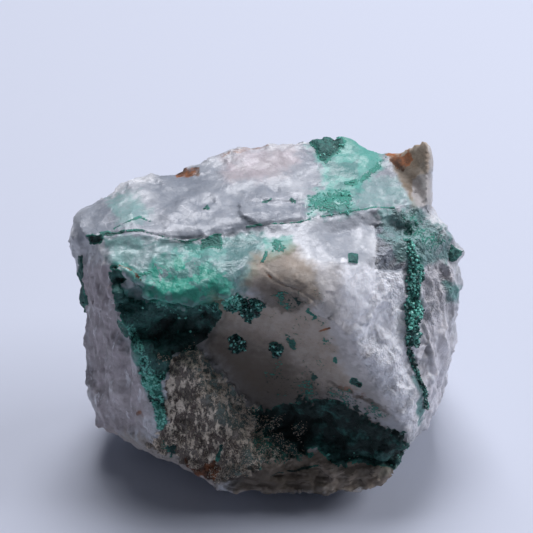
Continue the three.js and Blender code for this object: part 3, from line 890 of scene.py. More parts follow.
    def build(self, finish: Material) -> bpy.types.Object:
        """Makes the piece, with its masks and finish.

        Args:
            finish: The rock's material.

        Returns:
            The rock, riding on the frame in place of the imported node.
        """
        paint(self.mesh, {coat.value: mask for coat, mask in self.masks.items()})
        paint(self.mesh, {"high": self.high, "plate": self.plate})
        self.mesh.materials.clear()
        self.mesh.materials.append(finish)
        self.mesh.shade_smooth()
        rock = bpy.data.objects.new(self.name, self.mesh)
        bpy.context.collection.objects.link(rock)
        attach(rock, "root")
        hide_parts(NODE)
        return rock


# ---- Finishes ----------------------------------------------------------------------------------


def linear(hex_colour: str) -> tuple[float, float, float, float]:
    """Turns an sRGB hex colour to linear red, green, blue and alpha."""
    parts = [int(hex_colour[i : i + 2], 16) / 255 for i in (1, 3, 5)]
    return (*(c / 12.92 if c <= 0.04045 else ((c + 0.055) / 1.055) ** 2.4 for c in parts), 1.0)


class Kind(Enum):
    """The kinds of node in use: each one's type, settings, inputs in order, and output."""

    PLACE = ("ShaderNodeTexCoord", {}, (), "Object")
    MASK = ("ShaderNodeAttribute", {}, (), "Fac")
    # numbers: a + b, a - b, a * b, a * b + c, the greater, and the size without its sign
    SUM = ("ShaderNodeMath", {"operation": "ADD"}, (0, 1), 0)
    DIFFERENCE = ("ShaderNodeMath", {"operation": "SUBTRACT"}, (0, 1), 0)
    PRODUCT = ("ShaderNodeMath", {"operation": "MULTIPLY"}, (0, 1), 0)
    PRODUCT_SUM = ("ShaderNodeMath", {"operation": "MULTIPLY_ADD"}, (0, 1, 2), 0)
    GREATER = ("ShaderNodeMath", {"operation": "MAXIMUM"}, (0, 1), 0)
    SIZE = ("ShaderNodeMath", {"operation": "ABSOLUTE"}, (0,), 0)
    # a number's rise from 0 at one value to 1 at another, smooth or straight, or between two others
    RISE = ("ShaderNodeMapRange", {"interpolation_type": "SMOOTHSTEP"}, (0, 1, 2), 0)
    RANGE = ("ShaderNodeMapRange", {}, (0, 1, 2, 3, 4), 0)
    # from one number or colour to another by a share, and one colour tinted by another
    BETWEEN = ("ShaderNodeMix", {"data_type": "FLOAT"}, (0, 2, 3), 0)
    MIX = ("ShaderNodeMix", {"data_type": "RGBA"}, (0, 6, 7), 2)
    TINT = ("ShaderNodeMix", {"data_type": "RGBA", "blend_type": "MULTIPLY"}, (0, 6, 7), 2)
    # places and directions
    STRETCH = ("ShaderNodeVectorMath", {"operation": "MULTIPLY"}, (0, 1), 0)
    SHIFT = ("ShaderNodeVectorMath", {"operation": "MULTIPLY_ADD"}, (0, 1, 2), 0)
    WAY = ("ShaderNodeVectorMath", {"operation": "SUBTRACT"}, (0, 1), 0)
    SLOPE = ("ShaderNodeVectorMath", {"operation": "DOT_PRODUCT"}, (0, 1), "Value")
    # patterns
    NOISE = ("ShaderNodeTexNoise", {}, ("Vector", "Scale", "Detail", "Roughness"), "Fac")
    SWIRL = ("ShaderNodeTexNoise", {}, ("Vector", "Scale", "Detail"), "Color")
    CELLS = ("ShaderNodeTexVoronoi", {}, ("Vector", "Scale"), "Color")
    SQUARES = ("ShaderNodeTexVoronoi", {"distance": "CHEBYCHEV"}, ("Vector", "Scale"), "Color")
    CRACKS = ("ShaderNodeTexVoronoi", {"feature": "DISTANCE_TO_EDGE"}, ("Vector", "Scale"), "Distance")
    TONE = ("ShaderNodeSeparateColor", {}, (0,), 0)
    BUMP = ("ShaderNodeBump", {}, ("Strength", "Distance", "Height"), 0)


def add(tree: bpy.types.NodeTree, kind: Kind, *feeds: Feed, **settings: str) -> Socket:
    """Adds a node with its settings and links.

    Args:
        tree: The material's node tree.
        kind: The kind of node.
        feeds: Its inputs in order, each a value, an sRGB hex colour, or the output that feeds it.
        settings: Attributes to set on the node besides those of its kind.

    Returns:
        The node's output.
    """
    node_type, own, inputs, output = kind.value
    made = tree.nodes.new(node_type)
    for name, value in {**own, **settings}.items():
        setattr(made, name, value)
    for key, feed in zip(inputs, feeds):
        if isinstance(feed, Socket):
            tree.links.new(feed, made.inputs[key])
        else:
            made.inputs[key].default_value = linear(feed) if isinstance(feed, str) else feed
    return made.outputs[output]


@dataclass(frozen=True)
class Noise:
    """A cloudy pattern: the length of its waves, and how many finer ones it has, and how strong."""

    length: float  # mm
    detail: float
    rough: float
    stretch: Triple = EVEN


@dataclass(frozen=True)
class VeinRock:
    """Milky quartz broken by hammer, with malachite, iron oxide and clay on it.

    Light goes a little way into the quartz, so it looks soft and white where it is full of bubbles, and
    its fresh facets have a thin glint. What lies on it is opaque, and dull but for the malachite.
    """

    milk: str = "#dfe0e3"
    glass: str = "#878d97"
    # the white of milky quartz and its threads, also painted light on the lower white face and the right face
    vein_white: str = "#f2f2f6"
    rose: str = "#afa2a3"
    rose_pale: str = "#c6b8bc"
    copper_pale: str = "#88a8a7"
    copper_grey: str = "#587e7e"
    copper_deep: str = "#66aba0"
    copper_bright: str = "#36a38d"
    buff: str = "#b3a390"
    buff_dark: str = "#a38b70"
    # grey-brown clay, also the painted shade of the hollow, the crease and the undersides of the nose and
    # chin, and the dark lines of the beds
    clay: str = "#4b4237"
    shale: str = "#5c5048"
    shale_pale: str = "#857b73"
    shale_dark: str = "#728680"
    cream: str = "#f4e6d3"
    rust_dark: str = "#4a3326"
    rust_bright: str = "#a4663f"
    # malachite's darkest green in its depths, also painted shade in the crease and the pocket
    green_black: str = "#0a1f1e"
    green_deep: str = "#205450"
    green_bright: str = "#3f9583"
    # bright green of the painted glints on the malachite's needles
    needle_glint_green: str = "#74cdbc"

    cloud: Noise = Noise(7.0, 4.0, 0.55)
    veil: Noise = Noise(4.2, 6.0, 0.7)
    wisp: Noise = Noise(2.6, 5.0, 0.62)
    grain: Noise = Noise(0.9, 4.0, 0.6)
    speck: Noise = Noise(0.35, 2.0, 0.5)
    thread: Noise = Noise(1.0, 3.0, 0.6, (1, 1, 0.2))  # drawn out upright, as growth layers are
    fleck: Noise = Noise(1.5, 8.0, 0.8, (1.4, 1.4, 0.6))  # cream on the dark crust
    bed: Noise = Noise(2.0, 5.0, 0.6, (0.4, 0.4, 2.5))  # drawn out level, as beds are
    needle: Noise = Noise(0.5, 4.0, 0.8)  # specks of painted glint where needles catch the light; real needles are too fine to show in the render
    crinkle: Noise = Noise(1.1, 3.0, 0.6)
    facet: float = 1.7  # mm, as all sizes here
    fine_facet: float = 0.73
    healed: float = 4.4  # between healed cracks, and how far they stray
    copper_stray: float = 4.5  # how far the cracks stray that copper came in by
    copper_crack: float = 4.5 / 1.3  # between them
    shard: float = 3.0  # of the crooked facets in the green
    fine_shard: float = 1.3

    index: float = 1.55  # quartz
    fresh: float = 0.44  # roughness of fresh quartz
    glassy: float = 0.38  # of clear quartz
    earthy: float = 0.8  # of what lies on it
    glint: float = 0.25  # on fresh facets
    glint_rough: float = 0.22
    light_in: float = 0.25  # how much light goes into the quartz
    light_depth: float = 0.7  # and how far
    light_spread: Triple = (1.0, 0.9, 0.85)  # red goes a little further than blue

    def build(self) -> Material:
        """Makes the material.

        Returns:
            The material.
        """
        material = bpy.data.materials.new("vein_rock")
        material.use_nodes = True
        wires = RockWires(material.node_tree, self)
        colour = wires.copper(wires.quartz())
        colour = wires.malachite(wires.covers(colour))
        shader = material.node_tree.nodes["Principled BSDF"]
        links = {"Base Color": colour, "Normal": wires.bump(), **wires.gloss()}
        for name, output in links.items():
            material.node_tree.links.new(output, shader.inputs[name])
        shader.inputs["IOR"].default_value = self.index
        shader.inputs["Coat Roughness"].default_value = self.glint_rough
        shader.inputs["Subsurface Radius"].default_value = self.light_spread
        shader.inputs["Subsurface Scale"].default_value = self.light_depth * MM
        return material


class RockWires:
    """The rock's node tree while it is wired, with the masks and noises that feed it.

    The two numbers of a rise are where it starts and where it is full. The number of a product or a mix
    says how much of a mask, a noise or a colour goes in.
    """

    def __init__(self, tree: bpy.types.NodeTree, finish: VeinRock) -> None:
        """Adds the masks, the noises and the facets.

        Args:
            tree: The material's node tree.
            finish: The rock's colours and patterns.
        """
        self.add, self.finish = partial(add, tree), finish
        self.place = self.add(Kind.PLACE)
        self.mask = {coat: self.add(Kind.MASK, attribute_name=coat.value) for coat in Coat}
        # Read by the malachite, whose low points are painted darker and high points lighter: painted shade
        # and light.
        self.high = self.add(Kind.MASK, attribute_name="high")
        plate = self.add(Kind.MASK, attribute_name="plate")
        self.noise = {}
        for name, noise in vars(finish).items():
            if isinstance(noise, Noise):
                place = self.add(Kind.STRETCH, self.place, noise.stretch)
                scale = 1 / (noise.length * MM)
                self.noise[name] = self.add(Kind.NOISE, place, scale, noise.detail, noise.rough)
        self.coarse, _ = self.facets(finish.facet)
        self.fine, self.fine_tone = self.facets(finish.fine_facet)
        # Facets differ a little in how much light they pass.
        shade = self.add(Kind.PRODUCT_SUM, self.fine_tone, 0.2, plate)
        shade = self.add(Kind.RANGE, shade, 0.2, 1.1, 0.8, 1.06)
        self.shade = self.add(Kind.BETWEEN, self.mask[Coat.SMOOTH], shade, 0.93)
        grown = self.frayed(self.frayed(self.mask[Coat.MALACHITE], "wisp", 0.7), "speck", 0.7)
        self.grown = self.add(Kind.RISE, grown, 0.35, 0.5)
        self.fleck = self.add(Kind.RISE, self.noise["fleck"], 0.475, 0.53)
        dull = self.add(Kind.GREATER, self.mask[Coat.OCHRE], self.mask[Coat.GRIME])
        self.dull = self.add(Kind.GREATER, dull, self.mask[Coat.CRUSTY])

    def facets(self, width: float) -> tuple[Socket, Socket]:
        """Flat facets, each tilted its own way.

        Args:
            width: Their size in mm.

        Returns:
            The height of each at a place, and a tone from 0 to 1 that is the same all over it.
        """
        scale = 1 / (width * MM)
        colour = self.add(Kind.CELLS, self.place, scale)
        way = self.add(Kind.WAY, self.place, colour.node.outputs["Position"])
        slope = self.add(Kind.SLOPE, way, self.add(Kind.WAY, colour, (0.5, 0.5, 0.5)))
        return self.add(Kind.PRODUCT, slope, scale), self.add(Kind.TONE, colour)

    def cracked(self, wander: float, cell: float) -> Socket:
        """Cracks that wander through the rock.

        Args:
            wander: How far they stray, in mm.
            cell: How far apart they are, in mm.

        Returns:
            How far a place is from the nearest, in cells.
        """
        swirl = self.add(Kind.SWIRL, self.place, 0.7 / (wander * MM), 2.0)
        bent = self.add(Kind.SHIFT, swirl, (wander * MM,) * 3, self.place)
        return self.add(Kind.CRACKS, bent, 1 / (cell * MM))

    def shards(self, width: float) -> Socket:
        """Crooked facets.

        Args:
            width: Their size in mm.

        Returns:
            A tone from 0 to 1 that is the same all over each.
        """
        swirl = self.add(Kind.SWIRL, self.place, 1 / (width * MM), 3.0)
        bent = self.add(Kind.SHIFT, swirl, (1.1 * width * MM,) * 3, self.place)
        return self.add(Kind.TONE, self.add(Kind.SQUARES, bent, 1 / (width * MM)))

    def frayed(self, mask: Socket, name: str, share: float) -> Socket:
        """Adds a share of a noise to a mask, so that its edge comes out ragged."""
        return self.add(Kind.PRODUCT_SUM, self.add(Kind.DIFFERENCE, self.noise[name], 0.5), share, mask)

    def quartz(self) -> Socket:
        """Milky quartz: white where it is full of tiny bubbles, grey and glassy where it isn't, and whiter as
        painted light on the lower white face and the right face.

        Returns:
            Its colour.
        """
        add, mask, noise, look = self.add, self.mask, self.noise, self.finish
        clear = mask[Coat.CLEAR]
        milkless = add(Kind.PRODUCT_SUM, clear, 0.5, noise["cloud"])
        milkless = add(Kind.PRODUCT_SUM, noise["veil"], 0.3, milkless)
        colour = add(Kind.MIX, add(Kind.RISE, milkless, 0.45, 1.1), look.milk, look.glass)
        bubbles = add(Kind.PRODUCT_SUM, clear, -0.35, 0.5)
        bubbles = add(Kind.PRODUCT, add(Kind.RISE, noise["veil"], 0.5, 0.72), bubbles)
        colour = add(Kind.MIX, bubbles, colour, look.vein_white)
        # Healed cracks show in the glassy parts as fine pale lines.
        crack = add(Kind.RISE, self.cracked(look.healed, look.healed), 0.03, 0.0)
        crack = add(Kind.PRODUCT, crack, add(Kind.RISE, noise["veil"], 0.5, 0.62))
        crack = add(Kind.PRODUCT, crack, add(Kind.PRODUCT, clear, 0.5))
        colour = add(Kind.MIX, crack, colour, look.vein_white)
        colour = add(Kind.TINT, 1.0, colour, self.shade)
        # White of milky quartz, also painted light that lifts the lower white face and the right face.
        milky = add(Kind.PRODUCT_SUM, clear, -0.3, self.frayed(mask[Coat.MILKY], "wisp", 1.2))
        colour = add(Kind.MIX, add(Kind.RISE, milky, 0.3, 0.8), colour, look.vein_white)
        rosy = add(Kind.MIX, add(Kind.RISE, noise["veil"], 0.42, 0.62), look.rose, look.rose_pale)
        colour = add(Kind.MIX, add(Kind.PRODUCT, mask[Coat.ROSY], 0.85), colour, rosy)
        # Growth layers seen from the side: thin upright threads of white.
        thread = add(Kind.PRODUCT, add(Kind.RISE, noise["thread"], 0.54, 0.62), mask[Coat.LAYERED])
        thread = add(Kind.PRODUCT, thread, add(Kind.RISE, noise["wisp"], 0.4, 0.7))
        return add(Kind.MIX, thread, colour, look.vein_white)

    def copper(self, colour: Socket) -> Socket:
        """Copper green, which sits inside the quartz in clouds, deepest along cracks.

        Args:
            colour: The quartz.

        Returns:
            The quartz with the green in it.
        """
        add, mask, look = self.add, self.mask, self.finish
        thick = add(Kind.PRODUCT_SUM, self.fine_tone, 0.12, add(Kind.PRODUCT, self.noise["veil"], 1.1))
        crack = add(Kind.RISE, self.cracked(look.copper_stray, look.copper_crack), 0.06, 0.0)
        thick = add(Kind.RISE, add(Kind.PRODUCT_SUM, crack, 0.25, thick), 0.0, 0.75)
        thick = add(Kind.PRODUCT, mask[Coat.COPPER], thick)
        green = add(Kind.MIX, add(Kind.RISE, thick, 0.25, 0.6), look.copper_pale, look.copper_deep)
        green = add(Kind.MIX, add(Kind.RISE, thick, 0.62, 0.95), green, look.copper_bright)
        green = add(Kind.TINT, 1.0, green, self.shade)
        # Where the stain is patchy, some facets are clear and some are milky.
        patchy = add(Kind.PRODUCT, mask[Coat.COPPER], 0.75)
        bare = add(Kind.PRODUCT, add(Kind.RISE, self.shards(look.shard), 0.3, 0.12), patchy)
        green = add(Kind.MIX, bare, green, look.glass)
        grey = add(Kind.PRODUCT, add(Kind.RISE, self.shards(look.fine_shard), 0.28, 0.12), patchy)
        green = add(Kind.MIX, grey, green, look.copper_grey)
        clear = add(Kind.PRODUCT, add(Kind.RISE, mask[Coat.CLEAR], 0.7, 0.95), 0.8)
        green = add(Kind.MIX, clear, green, look.copper_grey)
        return add(Kind.MIX, add(Kind.RISE, thick, 0.0, 0.35), colour, green)

    def covers(self, colour: Socket) -> Socket:
        """What lies on the rock: buff iron, the cream and shale crust, grey clay, and rust, the clay also as
        painted shade in the hollows.

        Args:
            colour: The bare rock.

        Returns:
            The covered rock.
        """
        add, mask, noise, look = self.add, self.mask, self.noise, self.finish
        wispy = add(Kind.RISE, noise["wisp"], 0.35, 0.65)
        buff = add(Kind.MIX, wispy, look.buff, look.buff_dark)
        colour = add(Kind.MIX, add(Kind.PRODUCT, mask[Coat.OCHRE], 0.85), colour, buff)
        shale = add(Kind.MIX, add(Kind.RISE, noise["wisp"], 0.4, 0.6), look.shale, look.shale_pale)
        shale = add(Kind.MIX, add(Kind.RISE, mask[Coat.GRIME], 0.1, 0.5), shale, look.shale_dark)
        flecked = add(Kind.MIX, add(Kind.PRODUCT, self.fleck, 0.95), shale, look.cream)
        crust = add(Kind.RISE, self.frayed(mask[Coat.CRUSTY], "wisp", 1.2), 0.3, 0.7)
        colour = add(Kind.MIX, crust, colour, flecked)
        # Painted shade with the real clay: the grime mask turns the hollow, the crease, the pocket, the
        # ledges and the undersides of the nose and chin towards clay grey, less where the crust lies.
        grime = add(Kind.RISE, self.frayed(mask[Coat.GRIME], "veil", 0.6), 0.05, 0.9)
        grime = add(Kind.PRODUCT, grime, add(Kind.PRODUCT_SUM, crust, -0.6, 0.9))
        colour = add(Kind.MIX, grime, colour, look.clay)
        bed = add(Kind.PRODUCT, add(Kind.RISE, noise["bed"], 0.52, 0.6), mask[Coat.BEDDED])
        colour = add(Kind.MIX, add(Kind.PRODUCT, bed, 0.7), colour, look.clay)
        # Rust is dark where thick and orange where thin.
        rust = add(Kind.RISE, self.frayed(mask[Coat.RUST], "grain", 1.1), 0.25, 0.7)
        return add(Kind.MIX, rust, colour, add(Kind.MIX, wispy, look.rust_dark, look.rust_bright))

    def malachite(self, colour: Socket) -> Socket:
        """Malachite: painted shade makes it near black in its depths and painted highlights brighten its high
        points and needles; it is also bright where it is thin.

        Args:
            colour: The rock without it.

        Returns:
            The rock with it.
        """
        add, mask, noise, look = self.add, self.mask, self.noise, self.finish
        # Painted light and shade: the malachite is lighter on its high points and specks and darker in its
        # low points, as light and shade would fall on its lumps.
        lit = add(Kind.PRODUCT_SUM, noise["speck"], 0.8, add(Kind.PRODUCT, self.high, 0.8))
        lit = add(Kind.PRODUCT_SUM, mask[Coat.COPPER], 0.2, lit)
        bright = add(Kind.MIX, add(Kind.RISE, lit, 0.45, 1.05), look.green_deep, look.green_bright)
        deep = add(Kind.MIX, add(Kind.RISE, lit, 0.5, 1.15), look.green_black, look.green_deep)
        # Painted glints: bright specks on the high points, where needles would catch the light, and more of
        # them in the bright fine grain of the copper-rich malachite.
        needle_glints = add(Kind.SUM, add(Kind.RISE, mask[Coat.COPPER], 0.65, 0.95), 0.12)
        needle_glints = add(Kind.PRODUCT, add(Kind.RISE, noise["needle"], 0.46, 0.54), needle_glints)
        needle_glints = add(Kind.PRODUCT, needle_glints, add(Kind.RISE, lit, 0.3, 1.0))
        deep = add(Kind.MIX, needle_glints, deep, look.needle_glint_green)
        stone = add(Kind.MIX, add(Kind.RISE, mask[Coat.MALACHITE], 0.5, 0.86), bright, deep)
        # Painted shade: in the crease, the pocket and the hollow the grime mask darkens the malachite towards
        # near black.
        sooty_shade = add(Kind.PRODUCT, add(Kind.RISE, mask[Coat.GRIME], 0.1, 0.7), 0.9)
        sooty_shade = add(Kind.PRODUCT, sooty_shade, add(Kind.RISE, noise["wisp"], 0.66, 0.46))
        stone = add(Kind.MIX, sooty_shade, stone, look.green_black)
        return add(Kind.MIX, self.grown, colour, stone)

    def gloss(self) -> dict[str, Socket]:
        """How rough it is, and the thin glint and the light in the milk of fresh quartz.

        Returns:
            What feeds the shader's inputs, by their names.
        """
        add, mask, look = self.add, self.mask, self.finish
        rough = add(Kind.BETWEEN, mask[Coat.CLEAR], look.fresh, look.glassy)
        dull = add(Kind.GREATER, self.dull, add(Kind.PRODUCT, self.grown, 0.5))
        rough = add(Kind.BETWEEN, dull, rough, look.earthy)
        opaque = add(Kind.GREATER, self.grown, self.dull)
        covered = add(Kind.GREATER, add(Kind.GREATER, opaque, mask[Coat.COPPER]), mask[Coat.CLEAR])
        return {
            "Roughness": rough,
            "Coat Weight": add(Kind.PRODUCT_SUM, covered, -look.glint, look.glint),
            "Subsurface Weight": add(Kind.PRODUCT_SUM, opaque, -look.light_in, look.light_in),
        }

    def bump(self) -> Socket:
        """Sugary grain of the fracture, the crust's flecks and crinkles.

        Returns:
            The direction that the surface faces.
        """
        add, mask, speck = self.add, self.mask, self.noise["speck"]
        # The facets are small and flat, with finer ones on them where the quartz isn't glassy.
        sugary = add(Kind.DIFFERENCE, 1.0, add(Kind.RISE, mask[Coat.CLEAR], 0.0, 0.7))
        fine = add(Kind.PRODUCT, self.fine, add(Kind.PRODUCT_SUM, sugary, 0.2, 0.08))
        height = add(Kind.PRODUCT_SUM, self.coarse, 0.45, fine)
        height = add(Kind.PRODUCT, height, add(Kind.PRODUCT_SUM, mask[Coat.SMOOTH], -0.8, 1.0))
        coated = add(Kind.GREATER, self.grown, mask[Coat.CRUSTY])
        height = add(Kind.PRODUCT_SUM, speck, add(Kind.PRODUCT_SUM, coated, 0.2, 0.04), height)
        flecked = add(Kind.PRODUCT, self.fleck, mask[Coat.CRUSTY])
        height = add(Kind.PRODUCT_SUM, flecked, 0.3, height)
        crease = add(Kind.SIZE, add(Kind.DIFFERENCE, self.noise["crinkle"], 0.5))
        crease = add(Kind.PRODUCT, crease, mask[Coat.CRINKLED])
        height = add(Kind.PRODUCT_SUM, crease, 1.6, height)
        return add(Kind.BUMP, 1.0, 1.0 * MM, height)


@dataclass(frozen=True)
class GrainFinish:
    """Small grains of a mineral.

    Each has a tone of its own between a dark, a middle and a light, so that a crust of them sparkles or
    looks sandy instead of flat.
    """

    name: str
    dark: str
    middle: str
    light: str
    roughness: float
    index: float = 1.6  # as a weathered crystal's
    drift: float = 2.2  # mm over which the tone also drifts
    drift_share: float = 1.6
    to_middle: tuple[float, float] = (0.8, 1.35)  # tones between which dark turns to middle
    to_light: tuple[float, float] = (1.45, 1.85)  # and middle to light

    def build(self) -> Material:
        """Makes the material.

        Returns:
            The material.
        """
        material = bpy.data.materials.new(self.name)
        material.use_nodes = True
        node = partial(add, material.node_tree)
        noise = node(Kind.NOISE, node(Kind.PLACE), 1 / (self.drift * MM), 4.0)
        tone = node(Kind.PRODUCT_SUM, noise, self.drift_share, node(Kind.MASK, attribute_name="tone"))
        tone = node(Kind.SUM, tone, node(Kind.MASK, attribute_name=Coat.COPPER.value))
        colour = node(Kind.MIX, node(Kind.RANGE, tone, *self.to_middle), self.dark, self.middle)
        colour = node(Kind.MIX, node(Kind.RANGE, tone, *self.to_light), colour, self.light)
        shader = material.node_tree.nodes["Principled BSDF"]
        material.node_tree.links.new(colour, shader.inputs["Base Color"])
        shader.inputs["Roughness"].default_value = self.roughness
        shader.inputs["IOR"].default_value = self.index
        return material


# ---- Grains ------------------------------------------------------------------------------------


def block() -> tuple[Array, Array]:
    """Shapes a short crystal with six faces.

    Returns:
        Its corners, about 1 from its middle, and its triangles.
    """
    corners = np.array(list(itertools.product((-0.6, 0.6), repeat=3)))  # half of each edge
    quads = [(0, 1, 3, 2), (4, 6, 7, 5), (0, 4, 5, 1), (2, 3, 7, 6), (0, 2, 6, 4), (1, 5, 7, 3)]
    return corners, np.array([part for a, b, c, d in quads for part in ((a, b, c), (a, c, d))])


def turns(spin: Array) -> Array:
    """Turns quaternions to rotations.

    Args:
        spin: Quaternions of any length, in rows.

    Returns:
        A matrix of three by three for each.
    """
    w, x, y, z = (spin / np.linalg.norm(spin, axis=1)[:, None]).T
    return np.array([
        [1 - 2 * (y * y + z * z), 2 * (x * y - z * w), 2 * (x * z + y * w)],
        [2 * (x * y + z * w), 1 - 2 * (x * x + z * z), 2 * (y * z - x * w)],
        [2 * (x * z - y * w), 2 * (y * z + x * w), 1 - 2 * (x * x + y * y)],
    ]).transpose(2, 0, 1)


@dataclass(frozen=True)
class Grains(ABC):
    """Many small grains set in the skin and joined in one mesh."""

    name: str
    finish: GrainFinish
    count: int
    smallest: float
    largest: float
    sunk: float  # how much of a grain is in the rock
    long: float  # how many times as long as wide a grain can be
    seed: int
    mostly_small: float = 1.6  # above 1, there are more small ones
    squat: float = 0.75  # the least height, as a share of the width
    chipped: tuple[float, float] = (0.8, 1.15)  # how far its corners are moved in and out
    scatter: float = 0.12
    floor: float = 0.02  # the least height over the ground
    unseen: float = 0.4  # how thick they lie out of sight, as a share

    @abstractmethod
    def density(self, skin: RockSkin) -> Array:
        """How thick the grains lie at each of the skin's points, from 0 up."""

    def strewn(self, dice: np.random.Generator, skin: RockSkin) -> tuple[Array, Array, Array]:
        """Picks where the grains sit.

        Args:
            dice: Where the random draws come from.
            skin: The rock that they sit on.

        Returns:
            For each grain the middle of its face, which way that face looks, and its first corner.
        """
        faces, loops = skin.mesh.polygons, skin.mesh.loops
        area, middle, normal = (np.empty(len(faces) * n, np.float32) for n in (1, 3, 3))
        for name, values in (("area", area), ("center", middle), ("normal", normal)):
            faces.foreach_get(name, values)
        first = np.empty(len(faces), np.int32)
        faces.foreach_get("loop_start", first)
        corner = np.empty(len(loops), np.int32)
        loops.foreach_get("vertex_index", corner)
        near = np.where(skin.seen, 1.0, self.unseen)
        weight = area * (near * self.density(skin))[corner[first]]
        picked = dice.choice(len(faces), self.count, p=weight / weight.sum())
        return middle.reshape(-1, 3)[picked] / MM, normal.reshape(-1, 3)[picked], corner[first][picked]

    def build(self, skin: RockSkin) -> bpy.types.Object:
        """Strews the grains.

        Args:
            skin: The rock that they sit on.

        Returns:
            The grains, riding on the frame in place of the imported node.
        """
        dice = np.random.default_rng(self.seed)
        middle, normal, host = self.strewn(dice, skin)
        size = self.smallest * (self.largest / self.smallest) ** dice.random(self.count) ** self.mostly_small
        turn = turns(dice.normal(size=(self.count, 4)))
        corners, triangles = block()
        stretch = np.stack([dice.uniform(1, self.long, self.count), np.ones(self.count),
                            dice.uniform(self.squat, 1, self.count)], -1)
        local = corners[None] * stretch[:, None] * dice.uniform(*self.chipped, (self.count, len(corners), 1))
        local = np.einsum("nij,nkj->nki", turn, local) * size[:, None, None] / 2
        jitter = dice.normal(scale=self.scatter, size=(self.count, 3))
        seat = middle + jitter - normal * (size * (self.sunk - 0.5))[:, None]
        points = (local + seat[:, None]).reshape(-1, 3)
        points[:, 2] = np.maximum(points[:, 2], self.floor)
        index = (triangles[None] + np.arange(self.count)[:, None, None] * len(corners)).reshape(-1, 3)
        mesh = bpy.data.meshes.new(self.name)
        mesh.from_pydata(points * MM, [], index)
        layers = {coat.value: skin.masks[coat][host] for coat in Coat}
        layers["tone"] = dice.random(self.count)
        paint(mesh, {name: np.repeat(values, len(corners)) for name, values in layers.items()})
        mesh.materials.append(self.finish.build())
        grains = bpy.data.objects.new(self.name, mesh)
        bpy.context.collection.objects.link(grains)
        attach(grains, "root")
        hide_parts(NODE)
        return grains


@dataclass(frozen=True)
class Druse(Grains):
    """Malachite crystals, mostly on the seam, the column and the clusters.

    Their faces are fairly smooth, so that some catch the light while others look almost black.
    """

    name: str = "malachite_druse"
    finish: GrainFinish = GrainFinish("malachite", "#0a2223", "#1f5a54", "#7fd3c2", 0.35)
    count: int = 5500
    smallest: float = 0.18
    largest: float = 0.6
    sunk: float = 0.36
    long: float = 1.8
    seed: int = 11
    edge: Ripple = Ripple(1.1, 0.25, 71, 2)
    covered: tuple[float, float] = (0.5, 0.75)  # the mask of malachite between which they start
    elsewhere: float = 0.006  # how thick they lie on plain malachite
    grimy: float = 0.9  # how many of them the grime mask hides

    def density(self, skin: RockSkin) -> Array:
        """How thick the crystals lie: on malachite, and less under the grime mask."""
        green = eased(*self.covered, skin.masks[Coat.MALACHITE] + self.edge.raised(skin.points))
        return green * (self.elsewhere + skin.masks[Coat.DRUSY]) * (1 - self.grimy * skin.masks[Coat.GRIME])


@dataclass(frozen=True)
class Crust(Grains):
    """Cream grains of limonite on the high spots of the dark crust, earthy and without a shine."""

    name: str = "limonite_crust"
    finish: GrainFinish = GrainFinish("limonite", "#7a6e63", "#c2b3a0", "#f0e6d6", 0.8)
    count: int = 5000
    smallest: float = 0.1
    largest: float = 0.22
    sunk: float = 0.4
    long: float = 2.2
    seed: int = 12
    patches: Ripple = Ripple(2.0, 0.5, 72, 3)
    edge: tuple[float, float] = (0.5, 0.9)  # the height, and the mask of crust, between which they start

    def density(self, skin: RockSkin) -> Array:
        """How thick the grains lie: where the crust is high."""
        high = eased(*self.edge, skin.high + self.patches.raised(skin.points))
        return eased(*self.edge, skin.masks[Coat.CRUSTY]) * high


# ---- Floor and light ---------------------------------------------------------------------------


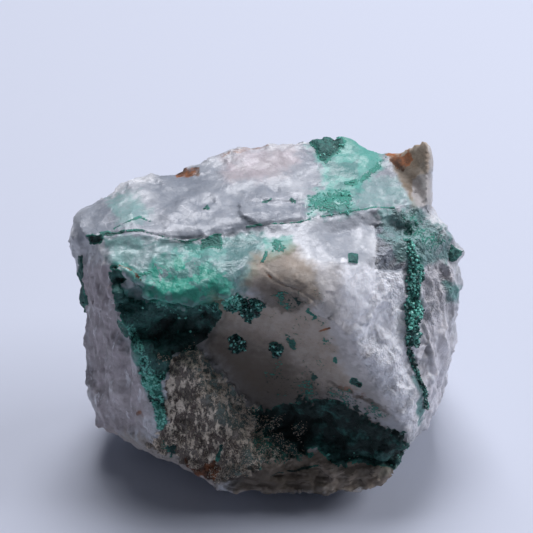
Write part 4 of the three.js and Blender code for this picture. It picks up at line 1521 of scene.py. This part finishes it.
@dataclass(frozen=True)
class Lamp:
    """One soft lamp (metres and watts)."""

    name: str
    place: Triple
    size: float
    power: float
    tint: str
    target: Triple = (0, 0, 0.02)

    def build(self) -> None:
        """Makes the lamp and points it at the rock."""
        light = bpy.data.lights.new(self.name, "AREA")
        light.size, light.energy, light.color = self.size, self.power, linear(self.tint)[:3]
        lamp = bpy.data.objects.new(self.name, light)
        bpy.context.collection.objects.link(lamp)
        lamp.location = self.place
        lamp.rotation_mode = "QUATERNION"
        lamp.rotation_quaternion = (Vector(self.target) - Vector(self.place)).to_track_quat("-Z", "Y")


@dataclass(frozen=True)
class Studio:
    """A pale sheet under soft light from above."""

    paper: str = "#c8ccd8"
    width: float = 6  # metres
    roughness: float = 0.9  # of matt paper
    sky: str = "#d5ddf2"
    sky_strength: float = 0.115
    lamps: tuple[Lamp, ...] = (
        Lamp("window", (-0.01, 0.23, 0.585), 0.26, 3.4, "#f7f8ff"),
        Lamp("reflector", (0.52, 0.12, 0.38), 0.35, 2.5, "#f4f6ff"),
    )

    def build(self) -> None:
        """Makes the floor, the sky and the lamps."""
        bpy.ops.mesh.primitive_plane_add(size=self.width)
        floor = bpy.context.object
        floor.name = "floor"
        paper = bpy.data.materials.new("paper")
        paper.use_nodes = True
        shader = paper.node_tree.nodes["Principled BSDF"]
        shader.inputs["Base Color"].default_value = linear(self.paper)
        shader.inputs["Roughness"].default_value = self.roughness
        floor.data.materials.append(paper)
        floor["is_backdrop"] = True
        world = bpy.data.worlds.new("sky")
        world.use_nodes = True
        sky = world.node_tree.nodes["Background"]
        sky.inputs["Color"].default_value = linear(self.sky)
        sky.inputs["Strength"].default_value = self.sky_strength
        bpy.context.scene.world = world
        for lamp in self.lamps:
            lamp.build()
        bpy.context.scene.view_settings.view_transform = "Standard"


def main() -> None:
    logging.basicConfig(level=logging.INFO, format="%(relativeCreated)d ms: %(message)s")
    box = [list(corner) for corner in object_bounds()]
    low, high = (np.array(corner) / MM for corner in box)
    eye = Viewpoint()
    eye.build()
    Studio().build()
    LOG.info("stage built")
    skin = RockSkin()
    skin.soften(eye)
    skin.refine(eye)
    skin.mask(eye)
    skin.relief()
    skin.keep_in(low, high)
    pieces = [skin.build(VeinRock().build())]
    pieces += [grains.build(skin) for grains in (Druse(), Crust())]
    for piece in pieces:
        mesh = piece.data
        count = sum(len(p.vertices) - 2 for p in mesh.polygons)
        LOG.info("%s: %d points, %d triangles", piece.name, len(mesh.vertices), count)


if __name__ == "__main__":
    main()
